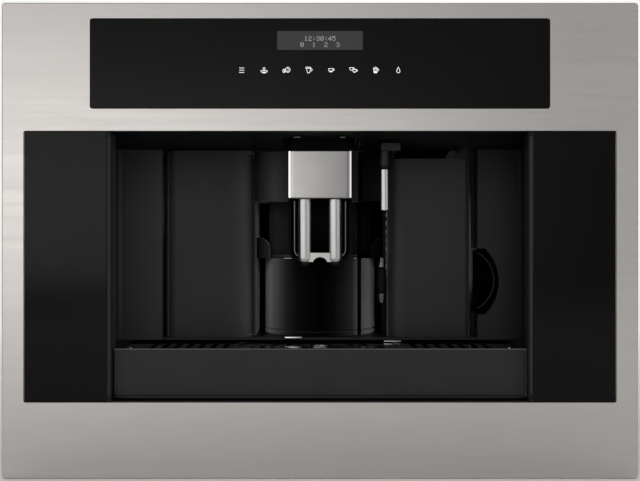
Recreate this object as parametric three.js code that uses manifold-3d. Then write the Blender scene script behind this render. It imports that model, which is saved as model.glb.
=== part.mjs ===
// Built-in coffee machine for a 600 mm wide, 45 cm high cabinet niche.
// Millimetres, +Z up. X runs to the viewer's right, Y runs back from the face of the steel front.
// The outer group moves the model so that its origin is the middle of its footprint.
import * as THREE from 'three';
import * as BufferGeometryUtils from 'three/addons/utils/BufferGeometryUtils.js';
import Module from 'manifold-3d';

const wasm = await Module();
wasm.setup();

// ---------------------------------------------------------------- driving dimensions
const FIT = 0.3; // gap between pieces that lie against each other
const RUN = 0.6; // gap between pieces that slide past each other
const DEPTH_ALL = 410; // steel front to rear cover
const SHEET = 2; // folded steel sheet
const MOULD = 3; // wall of the black plastic mouldings

const FRONT = { w: 595, h: 445, depth: 22, lip: 12, corner: 3, bevel: 1.2 };
const WINDOW = { border: 20.5, h: 253.9, z: 71.3, corner: 2 };
const PANEL = { w: 430, h: 84.6, drop: 14.7, corner: 2.5, thick: 4, inset: 0.4, bevel: 0.5 };
const DISPLAY = { w: 80.6, h: 18, drop: 11.4, frame: 1.6, depth: 2 };
const TOUCH = { pitch: 20.9, count: 8, drop: 47.7, pad: 9, margin: 8 };
const CARRIER = { lap: 1, edge: 16, wall: 3, back: 24, face: 8.3, corner: 4 };
const BOARD_HOLE = { side: 30, low: 14, high: 4 }; // inwards from the edges of the control glass
const SIDE_GLASS = { inset: 1, thick: 4 };

const NICHE = { half: 199, sideHalf: 211, backHalf: 164.2, depth: 96, wall: 2.5, edge: 3.4, corner: 6 };
const CEILING = { front: 325, back: 317, thick: 2.5, y0: 3, slopeEnd: 104, y1: 130 };
const SHAFT = { half: 36.5, y0: 36, y1: 106 }; // way up for the coffee spout
const FLOOR = { z: 72, thick: 2, back: 345 };
const SHELF = { z: 119.3, thick: 2.3, y0: 98.8 };
const BAY = { z0: 20.3, top: 119, runnerZ: 86.5, runnerH: 3.8, runnerHalf: 188.5 };

const TRAY = { frontHalf: 195, frontZ: 75, frontTop: 120.5, frontY: 10, frontThick: 4, round: 2 };
const BASIN = { half: 186, z0: 76, rimZ: 113.4, rim: 2, rimHalf: 194.6, back: 330, wall: 2.2, corner: 14 };
const GRID = { thick: 1.4, y1: 94.5, side: 2.5, corner: 7, ring: 84, ringW: 5 };
const GRID_SLOTS = { w: 5, pitch: 12, length: 62, perSide: 7, rings: [20, 34, 48] };

const DOOR = { z0: 122, left: -160, seam: 39.8, seamGap: 4.4, hinge: [-150, 106], hingeR: 10, rodR: 3 };
const COVER = { round: 15, edge: 68 };
const BROW = { y: 107, z: 264.3 };
const COLUMN = { y: 135, half: 55, z: 204 };
const DRUM = { r: 61, y: 165, wall: 3, z0: 127.8, top: 203.7, groove: 1.6 };
const EAR = { r: 13, h: 22, y0: 123, y1: 140 };
const RECESS_BACK = 176; // end of the narrow recesses beside the column and the drum
const STRIP_EDGE = 69.4; // right side of the fixed strip beside the tank

const SPOUT = { half: 32, y0: 40, y1: 98, z0: 263.4, z1: 311.4, round: 6, bevel: 1.2, wall: 2.5 };
const NOZZLE = { x: 15, r: 6.9, y: 52, z0: 201.6, bore: 3, boreDepth: 12, bridgeH: 8.9, bridgeY: 4.6 };
const SHROUD = { half: 32, z0: 203, y0: 62, wall: 3, round: 9, neckHalf: 29.1, neckY: 70, neckTop: 308.5 };
const GUIDE = { half: 20, y1: 104, z0: 207.6, web: 8, hook: 29, hookY: 103.7 };

const TANK = { x0: 71, x1: 156.5, z1: 307.8, frontBack: 120, y1: 330, wall: 2.5, bodyInset: 3.4, round: 6 };
const TANK_BODY = { z1: 304, corner: 12 };
const TANK_LID = { thick: 4.3, dishR: 18, dishDepth: 2, dishBack: 30, dishLength: 30 };
const TAB = { low: 130.5, high: 135.3, end: 141.3, top: 316.2, y0: 97, y1: 103 };
const GRIP = { x: 138, z: 180, r: 48.4, half: 34.4, wall: 2.5, back: 120 };
const GRIP_HOLE = { x: 151.8, r: 33.4, depth: 24 }; // round pocket in the bottom of the recess

const HOT = { x: 64.3, y: 54.5, tubeR: 4.8, bore: 3, z0: 252.3, z1: 294, neckR: 4.2 };
const HOT_CAP = { x0: 59.8, x1: 80.5, y0: 47, y1: 62, z0: 311.6, z1: 319.2, round: 3 };
const CONNECTOR = { x: 74.2, r: 2.9, z: 313.8, back: 128, padHalf: 4, padY: 112 };

const BODY = { half: 266, z0: 18, top: 423, base: 2, cover: 1.2, roof: 1.7, flange: 277.5 };
const DECK = { z: 319.8, thick: 2.5, y0: 107 };
const PARTITION = { x: 172, thick: 2.5, y0: 145 };
const HOPPER = { x0: -250, x1: -152, y0: 140, y1: 300, z0: 347, wall: 2, outletR: 15 };
const GRINDER = { x: -213, y: 215, r: 33, flangeR: 44, z0: 232, z1: 346.6, motorH: 44, step: 6 };
const CHUTE = { half: 17, y0: 215, y1: 255, z0: 322.8, wall: 2, outlet: 9 };
const LID = { thick: 4, over: 3, z: 423.4 };
const KNOB = { x: -100, y: 215, r: 14, h: 10, neckR: 6, lobes: 6, fluteR: 4.6, fluteOut: 2.4 };
const BINS = { x0: -145, x1: -75, y0: 135, y1: 300, z1: 232, wall: 2, corner: 9 };
const BREW = { y: 235, r: 34, z1: 262, neck: 30, baseHalf: 45, baseY0: 188, baseY1: 300, baseTop: 138 };
const MOTOR = { r: 19, h: 62, inset: 22 };
const PUMP = { x: 229, z: 52, r: 19, y0: 150, y1: 262, foot: 24, footFront: 34, footBack: 46 };
const HEATER = { x0: 62, x1: 158, y0: 160, y1: 300, h: 46, finGap: 12 };
const BOARD = { x0: 176, x1: 256, y0: 140, y1: 380, stand: 8, thick: 1.6 };
const BOARD_PARTS = [[20, 50, 24, 34, 12], [16, 120, 30, 22, 18], [40, 170, 22, 40, 24]]; // x, y, w, l, h
const INLET = { x: 150, z: 64, w: 50, h: 30, depth: 20, lip: 3, socketW: 24, socketH: 17, socketCut: 4,
  socketDepth: 16 };
const ROCKER = { w: 13, h: 20, depth: 5, x: 166.5, tilt: 9, well: 11 };

// Rows of ventilation slots: first place, pitch, slot width and span of the slots.
const SIDE_SLOTS = { count: 9, y: 230, pitch: 16, w: 6, z0: 300, z1: 380 };
const TOP_SLOTS = { count: 10, x: 80, pitch: 16, w: 6, y0: 170, y1: 290 };
const REAR_SLOTS = { rows: 3, rowX: -190, rowPitch: 140, length: 100, count: 10, z: 160, pitch: 12, h: 5 };
const GROOVES = { x: [-150, -50, 50, 150], half: 20, y0: 70, margin: 50 };

const SLIDE = { z: 120, y0: 27, length: 356, outer: 279.6, inner: 266.3, h: 45 };
const SLIDE_SHEET = 1.4;

// ---------------------------------------------------------------- solids
const Y_AXIS = new THREE.Matrix4().makeRotationX(Math.PI / 2);
const X_AXIS = new THREE.Matrix4().makeBasis(
  new THREE.Vector3(0, 1, 0), new THREE.Vector3(0, 0, 1), new THREE.Vector3(1, 0, 0));

/** Makes a solid out of a closed three.js geometry. */
function solid(geometry) {
  const bare = geometry.index ? geometry.toNonIndexed() : geometry.clone();
  bare.deleteAttribute('normal');
  bare.deleteAttribute('uv');
  const merged = BufferGeometryUtils.mergeVertices(bare, 1e-4);
  return new wasm.Manifold(new wasm.Mesh({
    numProp: 3,
    vertProperties: new Float32Array(merged.attributes.position.array),
    triVerts: new Uint32Array(merged.index.array),
  }));
}

/** Extrudes a shape drawn in X and Y upwards from z0 to z1. */
function upward(shape, z0, z1, curveSegments = 2) {
  const geometry = new THREE.ExtrudeGeometry(shape, { depth: z1 - z0, bevelEnabled: false, curveSegments });
  return solid(geometry.translate(0, 0, z0));
}

/** Extrudes a shape drawn in X and Z backwards from y0 to y1. */
function backward(shape, y0, y1, curveSegments = 2) {
  const geometry = new THREE.ExtrudeGeometry(shape, { depth: y1 - y0, bevelEnabled: false, curveSegments });
  return solid(geometry.applyMatrix4(Y_AXIS).translate(0, y1, 0));
}

/** Extrudes a shape drawn in Y and Z sideways from x0 to x1. */
function sideways(shape, x0, x1, curveSegments = 2) {
  const geometry = new THREE.ExtrudeGeometry(shape, { depth: x1 - x0, bevelEnabled: false, curveSegments });
  return solid(geometry.applyMatrix4(X_AXIS).translate(x0, 0, 0));
}

/** Extrudes like backward or upward, with both rims chamfered inwards. */
function bevelled(shape, start, end, bevel, axis = null) {
  const geometry = new THREE.ExtrudeGeometry(shape, {
    depth: end - start - 2 * bevel, bevelThickness: bevel, bevelSize: bevel, bevelOffset: -bevel,
    bevelSegments: 1, curveSegments: 2,
  });
  geometry.translate(0, 0, bevel);
  if (axis) return solid(geometry.applyMatrix4(axis).translate(0, end, 0));
  return solid(geometry.translate(0, 0, start));
}

/** A plain block between two corners, mostly used as a cutter or a plate. */
function block(x0, x1, y0, y1, z0, z1) {
  const geometry = new THREE.BoxGeometry(x1 - x0, y1 - y0, z1 - z0);
  return solid(geometry.translate((x0 + x1) / 2, (y0 + y1) / 2, (z0 + z1) / 2));
}

/** A round bar standing upright. */
function post(x, y, z0, z1, r, rTop = r, sides = 24) {
  const geometry = new THREE.CylinderGeometry(rTop, r, z1 - z0, sides).rotateX(Math.PI / 2);
  return solid(geometry.translate(x, y, (z0 + z1) / 2));
}

/** A round bar lying along Y. */
function bar(x, z, y0, y1, r, sides = 24) {
  return solid(new THREE.CylinderGeometry(r, r, y1 - y0, sides).translate(x, (y0 + y1) / 2, z));
}

/** A solid of revolution about an upright axis; profile points are [radius, height]. */
function turned(x, y, profile, sides = 24) {
  const points = profile.map(([r, z]) => new THREE.Vector2(r, z));
  return solid(new THREE.LatheGeometry(points, sides).rotateX(Math.PI / 2).translate(x, y, 0));
}

/** A straight-sided outline. */
function outline(points) {
  return new THREE.Shape(points.map(([a, b]) => new THREE.Vector2(a, b)));
}

/** A rectangle with four rounded corners, given by its two corners. */
function rounded(a0, a1, b0, b1, r) {
  const shape = new THREE.Shape();
  shape.moveTo(a0 + r, b0);
  shape.lineTo(a1 - r, b0);
  shape.absarc(a1 - r, b0 + r, r, -Math.PI / 2, 0);
  shape.lineTo(a1, b1 - r);
  shape.absarc(a1 - r, b1 - r, r, 0, Math.PI / 2);
  shape.lineTo(a0 + r, b1);
  shape.absarc(a0 + r, b1 - r, r, Math.PI / 2, Math.PI);
  shape.lineTo(a0, b0 + r);
  shape.absarc(a0 + r, b0 + r, r, Math.PI, 1.5 * Math.PI);
  return shape;
}

/** Points of a circle's arc, both ends included. */
function arc(cx, cy, r, from, to, steps) {
  return Array.from({ length: steps + 1 }, (_, i) => {
    const angle = from + (to - from) * i / steps;
    return [cx + r * Math.cos(angle), cy + r * Math.sin(angle)];
  });
}

/** Joins two or more solids. */
function join(first, ...rest) {
  return rest.reduce((sum, item) => sum.add(item), first);
}

/** Cuts every further solid from the first. */
function cut(first, ...rest) {
  return rest.reduce((sum, item) => sum.subtract(item), first);
}

/** A tapering tube of rectangular section between two rectangles, closed at both ends. */
function tapered(low, high, z0, z1) {
  const ring = ([x0, x1, y0, y1], z) => [[x0, y0, z], [x1, y0, z], [x1, y1, z], [x0, y1, z]];
  const corners = [...ring(low, z0), ...ring(high, z1)];
  const faces = [[0, 2, 1], [0, 3, 2], [4, 5, 6], [4, 6, 7]];
  for (let i = 0; i < 4; i += 1) {
    const next = (i + 1) % 4;
    faces.push([i, next, next + 4], [i, next + 4, i + 4]);
  }
  const geometry = new THREE.BufferGeometry();
  geometry.setAttribute('position', new THREE.Float32BufferAttribute(corners.flat(), 3));
  geometry.setIndex(faces.flat());
  return solid(geometry);
}

// ---------------------------------------------------------------- finishes
const finish = (color, roughness, metalness) => () =>
  new THREE.MeshStandardMaterial({ color, roughness, metalness });
const steel = finish(0xb9b5b0, 0.35, 0.9);
const zinc = finish(0x9da0a2, 0.45, 0.8);
const chrome = finish(0xd5d6d8, 0.12, 1);
const blackGlass = finish(0x0b0b0c, 0.06, 0);
const satinBlack = finish(0x2b2b2c, 0.5, 0);
const glossBlack = finish(0x101011, 0.12, 0);
const darkPlastic = finish(0x1b1b1c, 0.6, 0);
const clearPlastic = finish(0x6d7276, 0.2, 0);
const board = finish(0x1f5a38, 0.6, 0);
const ceramicWhite = finish(0xd9d7d0, 0.6, 0);

/** Adds a solid to a group as one named mesh. */
function place(group, name, body, material) {
  const mesh = body.getMesh();
  const geometry = new THREE.BufferGeometry();
  geometry.setAttribute('position', new THREE.BufferAttribute(new Float32Array(mesh.vertProperties), 3));
  geometry.setIndex(new THREE.BufferAttribute(new Uint32Array(mesh.triVerts), 1));
  geometry.computeVertexNormals();
  const item = new THREE.Mesh(geometry, material());
  item.name = name;
  group.add(item);
}

const SIDES = [['left', -1], ['right', 1]];

/** Orders two X values for either side of the machine. */
function span(side, a, b) {
  return side > 0 ? [a, b] : [-b, -a];
}

// ---------------------------------------------------------------- shared places
const windowHalf = FRONT.w / 2 - WINDOW.border;
const floorTop = FLOOR.z + FLOOR.thick;
const shelfTop = SHELF.z + SHELF.thick;
const windowTop = WINDOW.z + WINDOW.h;
const panelTop = FRONT.h - PANEL.drop;
const panelBottom = panelTop - PANEL.h;
const displayTop = panelTop - DISPLAY.drop;
const displayBottom = displayTop - DISPLAY.h;
const touchZ = panelTop - TOUCH.drop;
const stripLeft = DOOR.seam + DOOR.seamGap;
const coverTop = CEILING.back - RUN;
const nicheEdge = NICHE.half - NICHE.edge; // inner face of the rounded front edge
const edgeBack = SIDE_GLASS.inset + SIDE_GLASS.thick + NICHE.edge + FIT;
const wallFront = edgeBack + FIT;
const bodyBack = DEPTH_ALL - SHEET;
const gridZ = BASIN.rimZ + BASIN.rim + FIT;

/** Plan of a niche wall from the front edge outwards behind the glass, round the corner and inwards. */
function wallPlan(side, offset) {
  const { half, sideHalf, backHalf, depth, wall, corner } = NICHE;
  const start = side * (half - wall + offset);
  const from = side > 0 ? 0 : Math.PI;
  return [[start, wallFront], [start, CARRIER.back + FIT],
    ...arc(side * (sideHalf - corner), depth - corner, corner + offset, from, Math.PI / 2, 6),
    [side * backHalf, depth + offset]];
}

/** Everything above the niche ceiling's underside, less a gap: trims what stands below it. */
function aboveCeiling() {
  const top = FRONT.h;
  return sideways(outline([[-1, CEILING.front - FIT], [CEILING.y0, CEILING.front - FIT],
    [CEILING.slopeEnd, CEILING.back - FIT], [bodyBack, CEILING.back - FIT], [bodyBack, top], [-1, top]]),
  -FRONT.w / 2, FRONT.w / 2);
}

// ---------------------------------------------------------------- steel front and glass
function steelFront() {
  const face = rounded(-FRONT.w / 2, FRONT.w / 2, 0, FRONT.h, FRONT.corner);
  const skin = bevelled(face, 0, 2 * FRONT.bevel + SHEET, FRONT.bevel, Y_AXIS);
  const rim = backward(face, FRONT.bevel + SHEET / 2, FRONT.depth);
  const inner = FRONT.w / 2 - SHEET;
  const pocket = block(-inner, inner, SHEET, FRONT.depth - SHEET, SHEET, FRONT.h - SHEET);
  const lipIn = FRONT.w / 2 - FRONT.lip;
  const opening = block(-lipIn, lipIn, SHEET, FRONT.depth + 1, FRONT.lip, FRONT.h - FRONT.lip);
  const window = backward(rounded(-windowHalf, windowHalf, WINDOW.z, windowTop, WINDOW.corner),
    -1, SHEET + 1);
  const panel = backward(rounded(-PANEL.w / 2, PANEL.w / 2, panelBottom, panelTop, PANEL.corner),
    -1, SHEET + 1);
  return cut(join(skin, rim), pocket, opening, window, panel);
}

function controlGlass() {
  const shape = rounded(-PANEL.w / 2 + FIT, PANEL.w / 2 - FIT, panelBottom + FIT, panelTop - FIT,
    PANEL.corner);
  return bevelled(shape, PANEL.inset, PANEL.inset + PANEL.thick, PANEL.bevel, Y_AXIS);
}

function displayBoard() {
  const front = PANEL.inset + PANEL.thick + FIT;
  const back = front + DISPLAY.depth;
  const half = DISPLAY.w / 2 + DISPLAY.frame;
  const plateHalf = TOUCH.pitch * (TOUCH.count - 1) / 2 + TOUCH.pad + TOUCH.margin;
  const plate = block(-plateHalf, plateHalf, back, back + BOARD.thick, touchZ - TOUCH.pad - 3,
    displayTop + DISPLAY.frame + 4);
  const screen = block(-half, half, front, back + BOARD.thick / 2, displayBottom - DISPLAY.frame,
    displayTop + DISPLAY.frame);
  const keys = Array.from({ length: TOUCH.count }, (_, i) =>
    bar((i - (TOUCH.count - 1) / 2) * TOUCH.pitch, touchZ, front, back + BOARD.thick / 2, TOUCH.pad / 2, 16));
  return join(plate, screen, ...keys);
}

function frontCarrier() {
  const { lap, edge, wall, back, face, corner } = CARRIER;
  const half = windowHalf + lap;
  const top = FRONT.h - edge;
  const glassSeat = SIDE_GLASS.inset + SIDE_GLASS.thick + FIT;
  const plate = backward(rounded(-half, half, edge, top, corner), SHEET + FIT, back);
  const pocket = block(-half + wall, half - wall, face, back + 1, edge + wall, top - wall);
  const windowSeat = block(-half - 1, half + 1, 0, glassSeat, WINDOW.z - SHEET, windowTop + SHEET);
  const nicheHole = block(-NICHE.half - FIT, NICHE.half + FIT, 0, back + 1, FLOOR.z - FIT,
    CEILING.front + CEILING.thick + FIT);
  const panelSeat = block(-PANEL.w / 2 - 1, PANEL.w / 2 + 1, 0, PANEL.inset + PANEL.thick + FIT,
    panelBottom - 1, panelTop + 1);
  const boardHalf = PANEL.w / 2 - BOARD_HOLE.side;
  const boardHole = block(-boardHalf, boardHalf, 0, back, panelBottom + BOARD_HOLE.low,
    panelTop - BOARD_HOLE.high);
  const ribs = [-1, 1].map((side) => {
    const [x0, x1] = span(side, boardHalf + 2 * wall, boardHalf + 3 * wall);
    return block(x0, x1, face - 1, back, panelBottom + 1, top - 1);
  });
  return join(cut(plate, pocket, windowSeat, nicheHole, panelSeat, boardHole), ...ribs);
}

function sideGlass(side) {
  const [x0, x1] = span(side, NICHE.half + FIT, windowHalf - FIT);
  const shape = rounded(x0, x1, WINDOW.z + FIT, windowTop - FIT, 1);
  return bevelled(shape, SIDE_GLASS.inset, SIDE_GLASS.inset + SIDE_GLASS.thick, 0.4, Y_AXIS);
}

// ---------------------------------------------------------------- niche lining
function bayWall(side) {
  const front = SIDE_GLASS.inset + FIT;
  const edge = outline([[side * NICHE.half, front],
    ...arc(side * NICHE.half, front + NICHE.edge, NICHE.edge, 1.5 * Math.PI,
      side > 0 ? Math.PI : 2 * Math.PI, 5).slice(1),
    [side * nicheEdge, edgeBack], [side * NICHE.half, edgeBack]]);
  const lining = cut(upward(edge, FLOOR.z, CEILING.front), aboveCeiling());
  const [x0, x1] = span(side, NICHE.half - SHEET, NICHE.half);
  const lower = join(block(x0, x1, front + NICHE.edge, FLOOR.back, FLOOR.z, BAY.top),
    block(x0, x1, CARRIER.back + FIT, FLOOR.back, BAY.z0, BAY.top));
  const [r0, r1] = span(side, BAY.runnerHalf, NICHE.half - SHEET / 2);
  const runner = block(r0, r1, TRAY.frontY + TRAY.frontThick + 6, FLOOR.back - 10, BAY.runnerZ,
    BAY.runnerZ + BAY.runnerH);
  const [l0, l1] = span(side, NICHE.half - SHEET, NICHE.sideHalf + NICHE.wall);
  const ledge = block(l0, l1, CARRIER.back + FIT, SHELF.y0 - FIT, BAY.top - SHEET, BAY.top);
  return join(lining, lower, runner, ledge);
}

function nicheWall(side) {
  const plan = outline([...wallPlan(side, 0), ...wallPlan(side, NICHE.wall).reverse()]);
  const panel = upward(plan, BAY.top + FIT, CEILING.front);
  const legX = NICHE.backHalf + NICHE.wall;
  const stripY = DOOR.hinge[1] + DOOR.hingeR + 1;
  const [x0, x1] = span(side, NICHE.backHalf, legX);
  const leg = block(x0, x1, NICHE.depth + 1, stripY + NICHE.wall, shelfTop + FIT, CEILING.front);
  const [s0, s1] = span(side, -DOOR.left + RUN + FIT, legX);
  const strip = block(s0, s1, stripY, stripY + NICHE.wall, shelfTop + FIT, CEILING.front);
  const wall = cut(join(panel, leg, strip), aboveCeiling());
  return side > 0 ? cut(wall, gripShape(0, GRIP.back, 0)) : wall;
}

/** A round bar with a flat top and bottom, in the place of the finger recess. */
function gripShape(y0, y1, offset) {
  const half = GRIP.half + offset;
  const flats = block(0, NICHE.sideHalf, y0, y1, GRIP.z - half, GRIP.z + half);
  return bar(GRIP.x, GRIP.z, y0, y1, GRIP.r + offset, 48).intersect(flats);
}

/** Cup of the finger recess: an open band behind the niche wall, a bottom and a round pocket in it. */
function fingerCup() {
  const { wall, back } = GRIP;
  const front = NICHE.depth + NICHE.wall + FIT;
  const pocketEnd = back + GRIP_HOLE.depth;
  const shell = cut(gripShape(front, back + wall, wall), gripShape(0, back, FIT));
  const pocket = bar(GRIP_HOLE.x, GRIP.z, back, pocketEnd, GRIP_HOLE.r + wall, 32);
  const hole = bar(GRIP_HOLE.x, GRIP.z, 0, pocketEnd - wall, GRIP_HOLE.r, 32);
  const legSide = NICHE.backHalf + NICHE.wall + FIT;
  return cut(join(shell, pocket), hole, block(0, legSide, 0, DEPTH_ALL, shelfTop, CEILING.back));
}

function nicheCeiling() {
  const { front, back, thick, y0, slopeEnd, y1 } = CEILING;
  const profile = outline([[y0, front], [slopeEnd, back], [y1, back], [y1, back + thick],
    [slopeEnd, back + thick], [y0, front + thick]]);
  const wide = NICHE.sideHalf + NICHE.wall;
  const behindCarrier = block(-wide, wide, CARRIER.back + FIT, y1, back - 1, front + thick);
  const plate = join(sideways(profile, -NICHE.half, NICHE.half),
    sideways(profile, -wide, wide).intersect(behindCarrier));
  const shaft = upward(rounded(-SHAFT.half, SHAFT.half, SHAFT.y0, SHAFT.y1, 4), back - 1, front + 5);
  return cut(plate, shaft);
}

function nicheFloor() {
  const half = NICHE.half - SHEET - FIT;
  const plate = block(-half, half, edgeBack + FIT, FLOOR.back, FLOOR.z, floorTop);
  const stiffener = block(-half, half, FLOOR.back - SHEET, FLOOR.back, FLOOR.z - 8, FLOOR.z + 1);
  return join(plate, stiffener);
}

function bayShelf() {
  const lip = block(-NICHE.half, NICHE.half, bodyBack - FIT - SHEET, bodyBack - FIT, shelfTop - 1,
    shelfTop + 8);
  const plate = block(-NICHE.half, NICHE.half, SHELF.y0, bodyBack - FIT, SHELF.z, shelfTop);
  const noseHalf = NICHE.backHalf - 1;
  const nose = block(-noseHalf, noseHalf, NICHE.depth + FIT, SHELF.y0 + 1, SHELF.z, shelfTop);
  return join(plate, lip, nose);
}

// ---------------------------------------------------------------- service door and fixed strip
/** The drum's shell between two heights, cut to one side of the seam. */
function drumShell(x0, x1, z0, z1, r = DRUM.r) {
  const ring = cut(post(0, DRUM.y, z0, z1, r, r, 64), post(0, DRUM.y, z0 - 1, z1 + 1, r - DRUM.wall,
    r - DRUM.wall, 64));
  return ring.intersect(block(x0, x1, 0, DRUM.y, z0, z1));
}

/** Column, brow and the recess beside the column, for one side of the seam. */
function bayMoulding(xFrom, xTo, side, edge) {
  const face = [Math.min(xFrom, xTo), Math.max(xFrom, xTo)];
  const wallIn = side * (COLUMN.half - MOULD);
  const brow = block(...face, BROW.y, BROW.y + MOULD, BROW.z, coverTop);
  const soffit = block(...face, BROW.y, COLUMN.y + MOULD, BROW.z, BROW.z + MOULD);
  const colFace = [Math.min(xFrom, side * COLUMN.half), Math.max(xFrom, side * COLUMN.half)];
  const column = block(...colFace, COLUMN.y, COLUMN.y + MOULD, COLUMN.z, BROW.z + 1);
  const sill = block(...colFace, DRUM.y - DRUM.r - 1, COLUMN.y + MOULD, COLUMN.z, COLUMN.z + MOULD)
    .intersect(post(0, DRUM.y, COLUMN.z - 1, COLUMN.z + MOULD + 1, DRUM.r + 1, DRUM.r + 1, 64));
  const recess = block(...[wallIn, side * edge].sort((a, b) => a - b), RECESS_BACK - MOULD, RECESS_BACK,
    DOOR.z0, BROW.z + MOULD);
  const cheek = block(...[wallIn, side * COLUMN.half].sort((a, b) => a - b), COLUMN.y, RECESS_BACK,
    COLUMN.z, BROW.z + MOULD);
  const roof = block(...[wallIn, side * edge].sort((a, b) => a - b), COLUMN.y, RECESS_BACK, BROW.z,
    BROW.z + MOULD);
  return join(brow, soffit, column, sill, cheek, recess, roof, earGusset(side, edge));
}

/** Rounded ear at the foot of the column, reaching to the cover beside it. */
function earGusset(side, edge) {
  const inner = COLUMN.half - 1;
  const outer = edge - 1;
  const shape = outline([[side * inner, COLUMN.z], [side * outer, COLUMN.z],
    [side * outer, COLUMN.z + EAR.h],
    ...arc(side * (inner + EAR.r), COLUMN.z + EAR.h - EAR.r, EAR.r, Math.PI / 2,
      side > 0 ? Math.PI : 0, 6).slice(1)]);
  return backward(shape, EAR.y0, EAR.y1);
}

function doorPanel() {
  const [hx, hy] = DOOR.hinge;
  const face = NICHE.depth;
  const edge = -COVER.edge;
  const bend = edge - COVER.round;
  const bendY = face + COVER.round;
  const cover = outline([[hx, face], [bend, face],
    ...arc(bend, bendY, COVER.round, 1.5 * Math.PI, 2 * Math.PI, 7).slice(1),
    [edge, RECESS_BACK], [edge - MOULD, RECESS_BACK],
    ...arc(bend, bendY, COVER.round - MOULD, 2 * Math.PI, 1.5 * Math.PI, 7),
    [hx, face + MOULD]]);
  const knuckle = post(hx, hy, DOOR.z0, coverTop, DOOR.hingeR, DOOR.hingeR, 32);
  const foot = block(hx, edge - 1, face + 1, face + MOULD + 9, DOOR.z0, DOOR.z0 + MOULD);
  const head = block(hx, edge - 1, face + 1, face + MOULD + 9, coverTop - MOULD, coverTop);
  const moulding = bayMoulding(DOOR.seam, -COVER.edge - 1, -1, COVER.edge + 1);
  const bore = post(hx, hy, 0, FRONT.h, DOOR.rodR + FIT, DOOR.rodR + FIT, 20);
  return cut(join(upward(cover, DOOR.z0, coverTop), knuckle, foot, head, moulding), bore);
}

function drumCover() {
  return drumShell(-DRUM.r - 1, DOOR.seam, DRUM.z0, DRUM.top);
}

function drumBase() {
  const top = DRUM.z0 - DRUM.groove;
  const ring = drumShell(-DRUM.r - 1, DOOR.seam, DOOR.z0, top);
  const key = drumShell(-DRUM.r - 1, DOOR.seam, top - 1, DRUM.z0 - FIT, DRUM.r - 1.4)
    .intersect(post(0, DRUM.y, 0, FRONT.h, DRUM.r - 1.4, DRUM.r - 1.4, 64));
  return join(ring, key);
}

function fixedStrip() {
  const moulding = bayMoulding(stripLeft, STRIP_EDGE - 1, 1, STRIP_EDGE - 1);
  const side = block(STRIP_EDGE - MOULD, STRIP_EDGE, BROW.y, RECESS_BACK, shelfTop + FIT, coverTop);
  return join(moulding, side);
}

function drumStrip() {
  const shell = drumShell(stripLeft, DRUM.r + 1, shelfTop + FIT, DRUM.top);
  const groove = drumShell(stripLeft - 1, DRUM.r + 1, DRUM.z0 - DRUM.groove, DRUM.z0, DRUM.r + 1.6);
  return cut(shell, groove);
}

function hingeRod() {
  const [hx, hy] = DOOR.hinge;
  return post(hx, hy, shelfTop + FIT, CEILING.back - FIT, DOOR.rodR, DOOR.rodR, 20);
}

function spoutGuide() {
  const { half, y1, z0, web } = GUIDE;
  const y0 = SPOUT.y1 + FIT;
  const plate = backward(rounded(-half, half, z0, coverTop, 3), y0, y1);
  const upper = block(-web, web, y1 - 1, BROW.y - FIT, BROW.z - 2, coverTop);
  const lower = block(-web, web, y1 - 1, COLUMN.y - FIT, z0, BROW.z - FIT);
  return join(plate, upper, lower);
}

// ---------------------------------------------------------------- coffee spout
function spoutHousing() {
  const { half, y0, y1, z0, z1, round, bevel, wall } = SPOUT;
  const plan = (inset) => {
    const shape = new THREE.Shape();
    const r = round - inset;
    shape.moveTo(-half + inset, y1 + (inset ? 1 : 0));
    shape.lineTo(-half + inset, y0 + round);
    shape.absarc(-half + round, y0 + round, r, Math.PI, 1.5 * Math.PI);
    shape.lineTo(half - round, y0 + inset);
    shape.absarc(half - round, y0 + round, r, 1.5 * Math.PI, 2 * Math.PI);
    shape.lineTo(half - inset, y1 + (inset ? 1 : 0));
    return shape;
  };
  const hollow = upward(plan(wall), z0 - 1, z1 - wall);
  return cut(bevelled(plan(0), z0, z1, bevel), hollow);
}

function spoutNozzles() {
  const { x, r, y, z0, bore, boreDepth, bridgeH, bridgeY } = NOZZLE;
  const top = SPOUT.z1 - SPOUT.wall - FIT;
  const arch = outline([[-x, z0], [-x * 0.42, z0],
    ...arc(0, z0 - 3, x * 0.52, Math.PI * 0.86, Math.PI * 0.14, 8),
    [x * 0.42, z0], [x, z0], [x, z0 + bridgeH], [-x, z0 + bridgeH]]);
  const bridge = backward(arch, y - bridgeY, y + bridgeY);
  const tubes = [-x, x].map((cx) => turned(cx, y, [[0, z0], [r - 1.2, z0], [r - 0.2, z0 + 1.6], [r, z0 + 4],
    [r, top - 1], [r - 1, top], [0, top]], 28));
  const bores = [-x, x].map((cx) => post(cx, y, z0 - 1, z0 + boreDepth, bore, bore, 16));
  const yoke = block(-x, x, y - 3, y + 12, SPOUT.z0 + 8, top - 1);
  return cut(join(bridge, ...tubes, yoke), ...bores);
}

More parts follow.
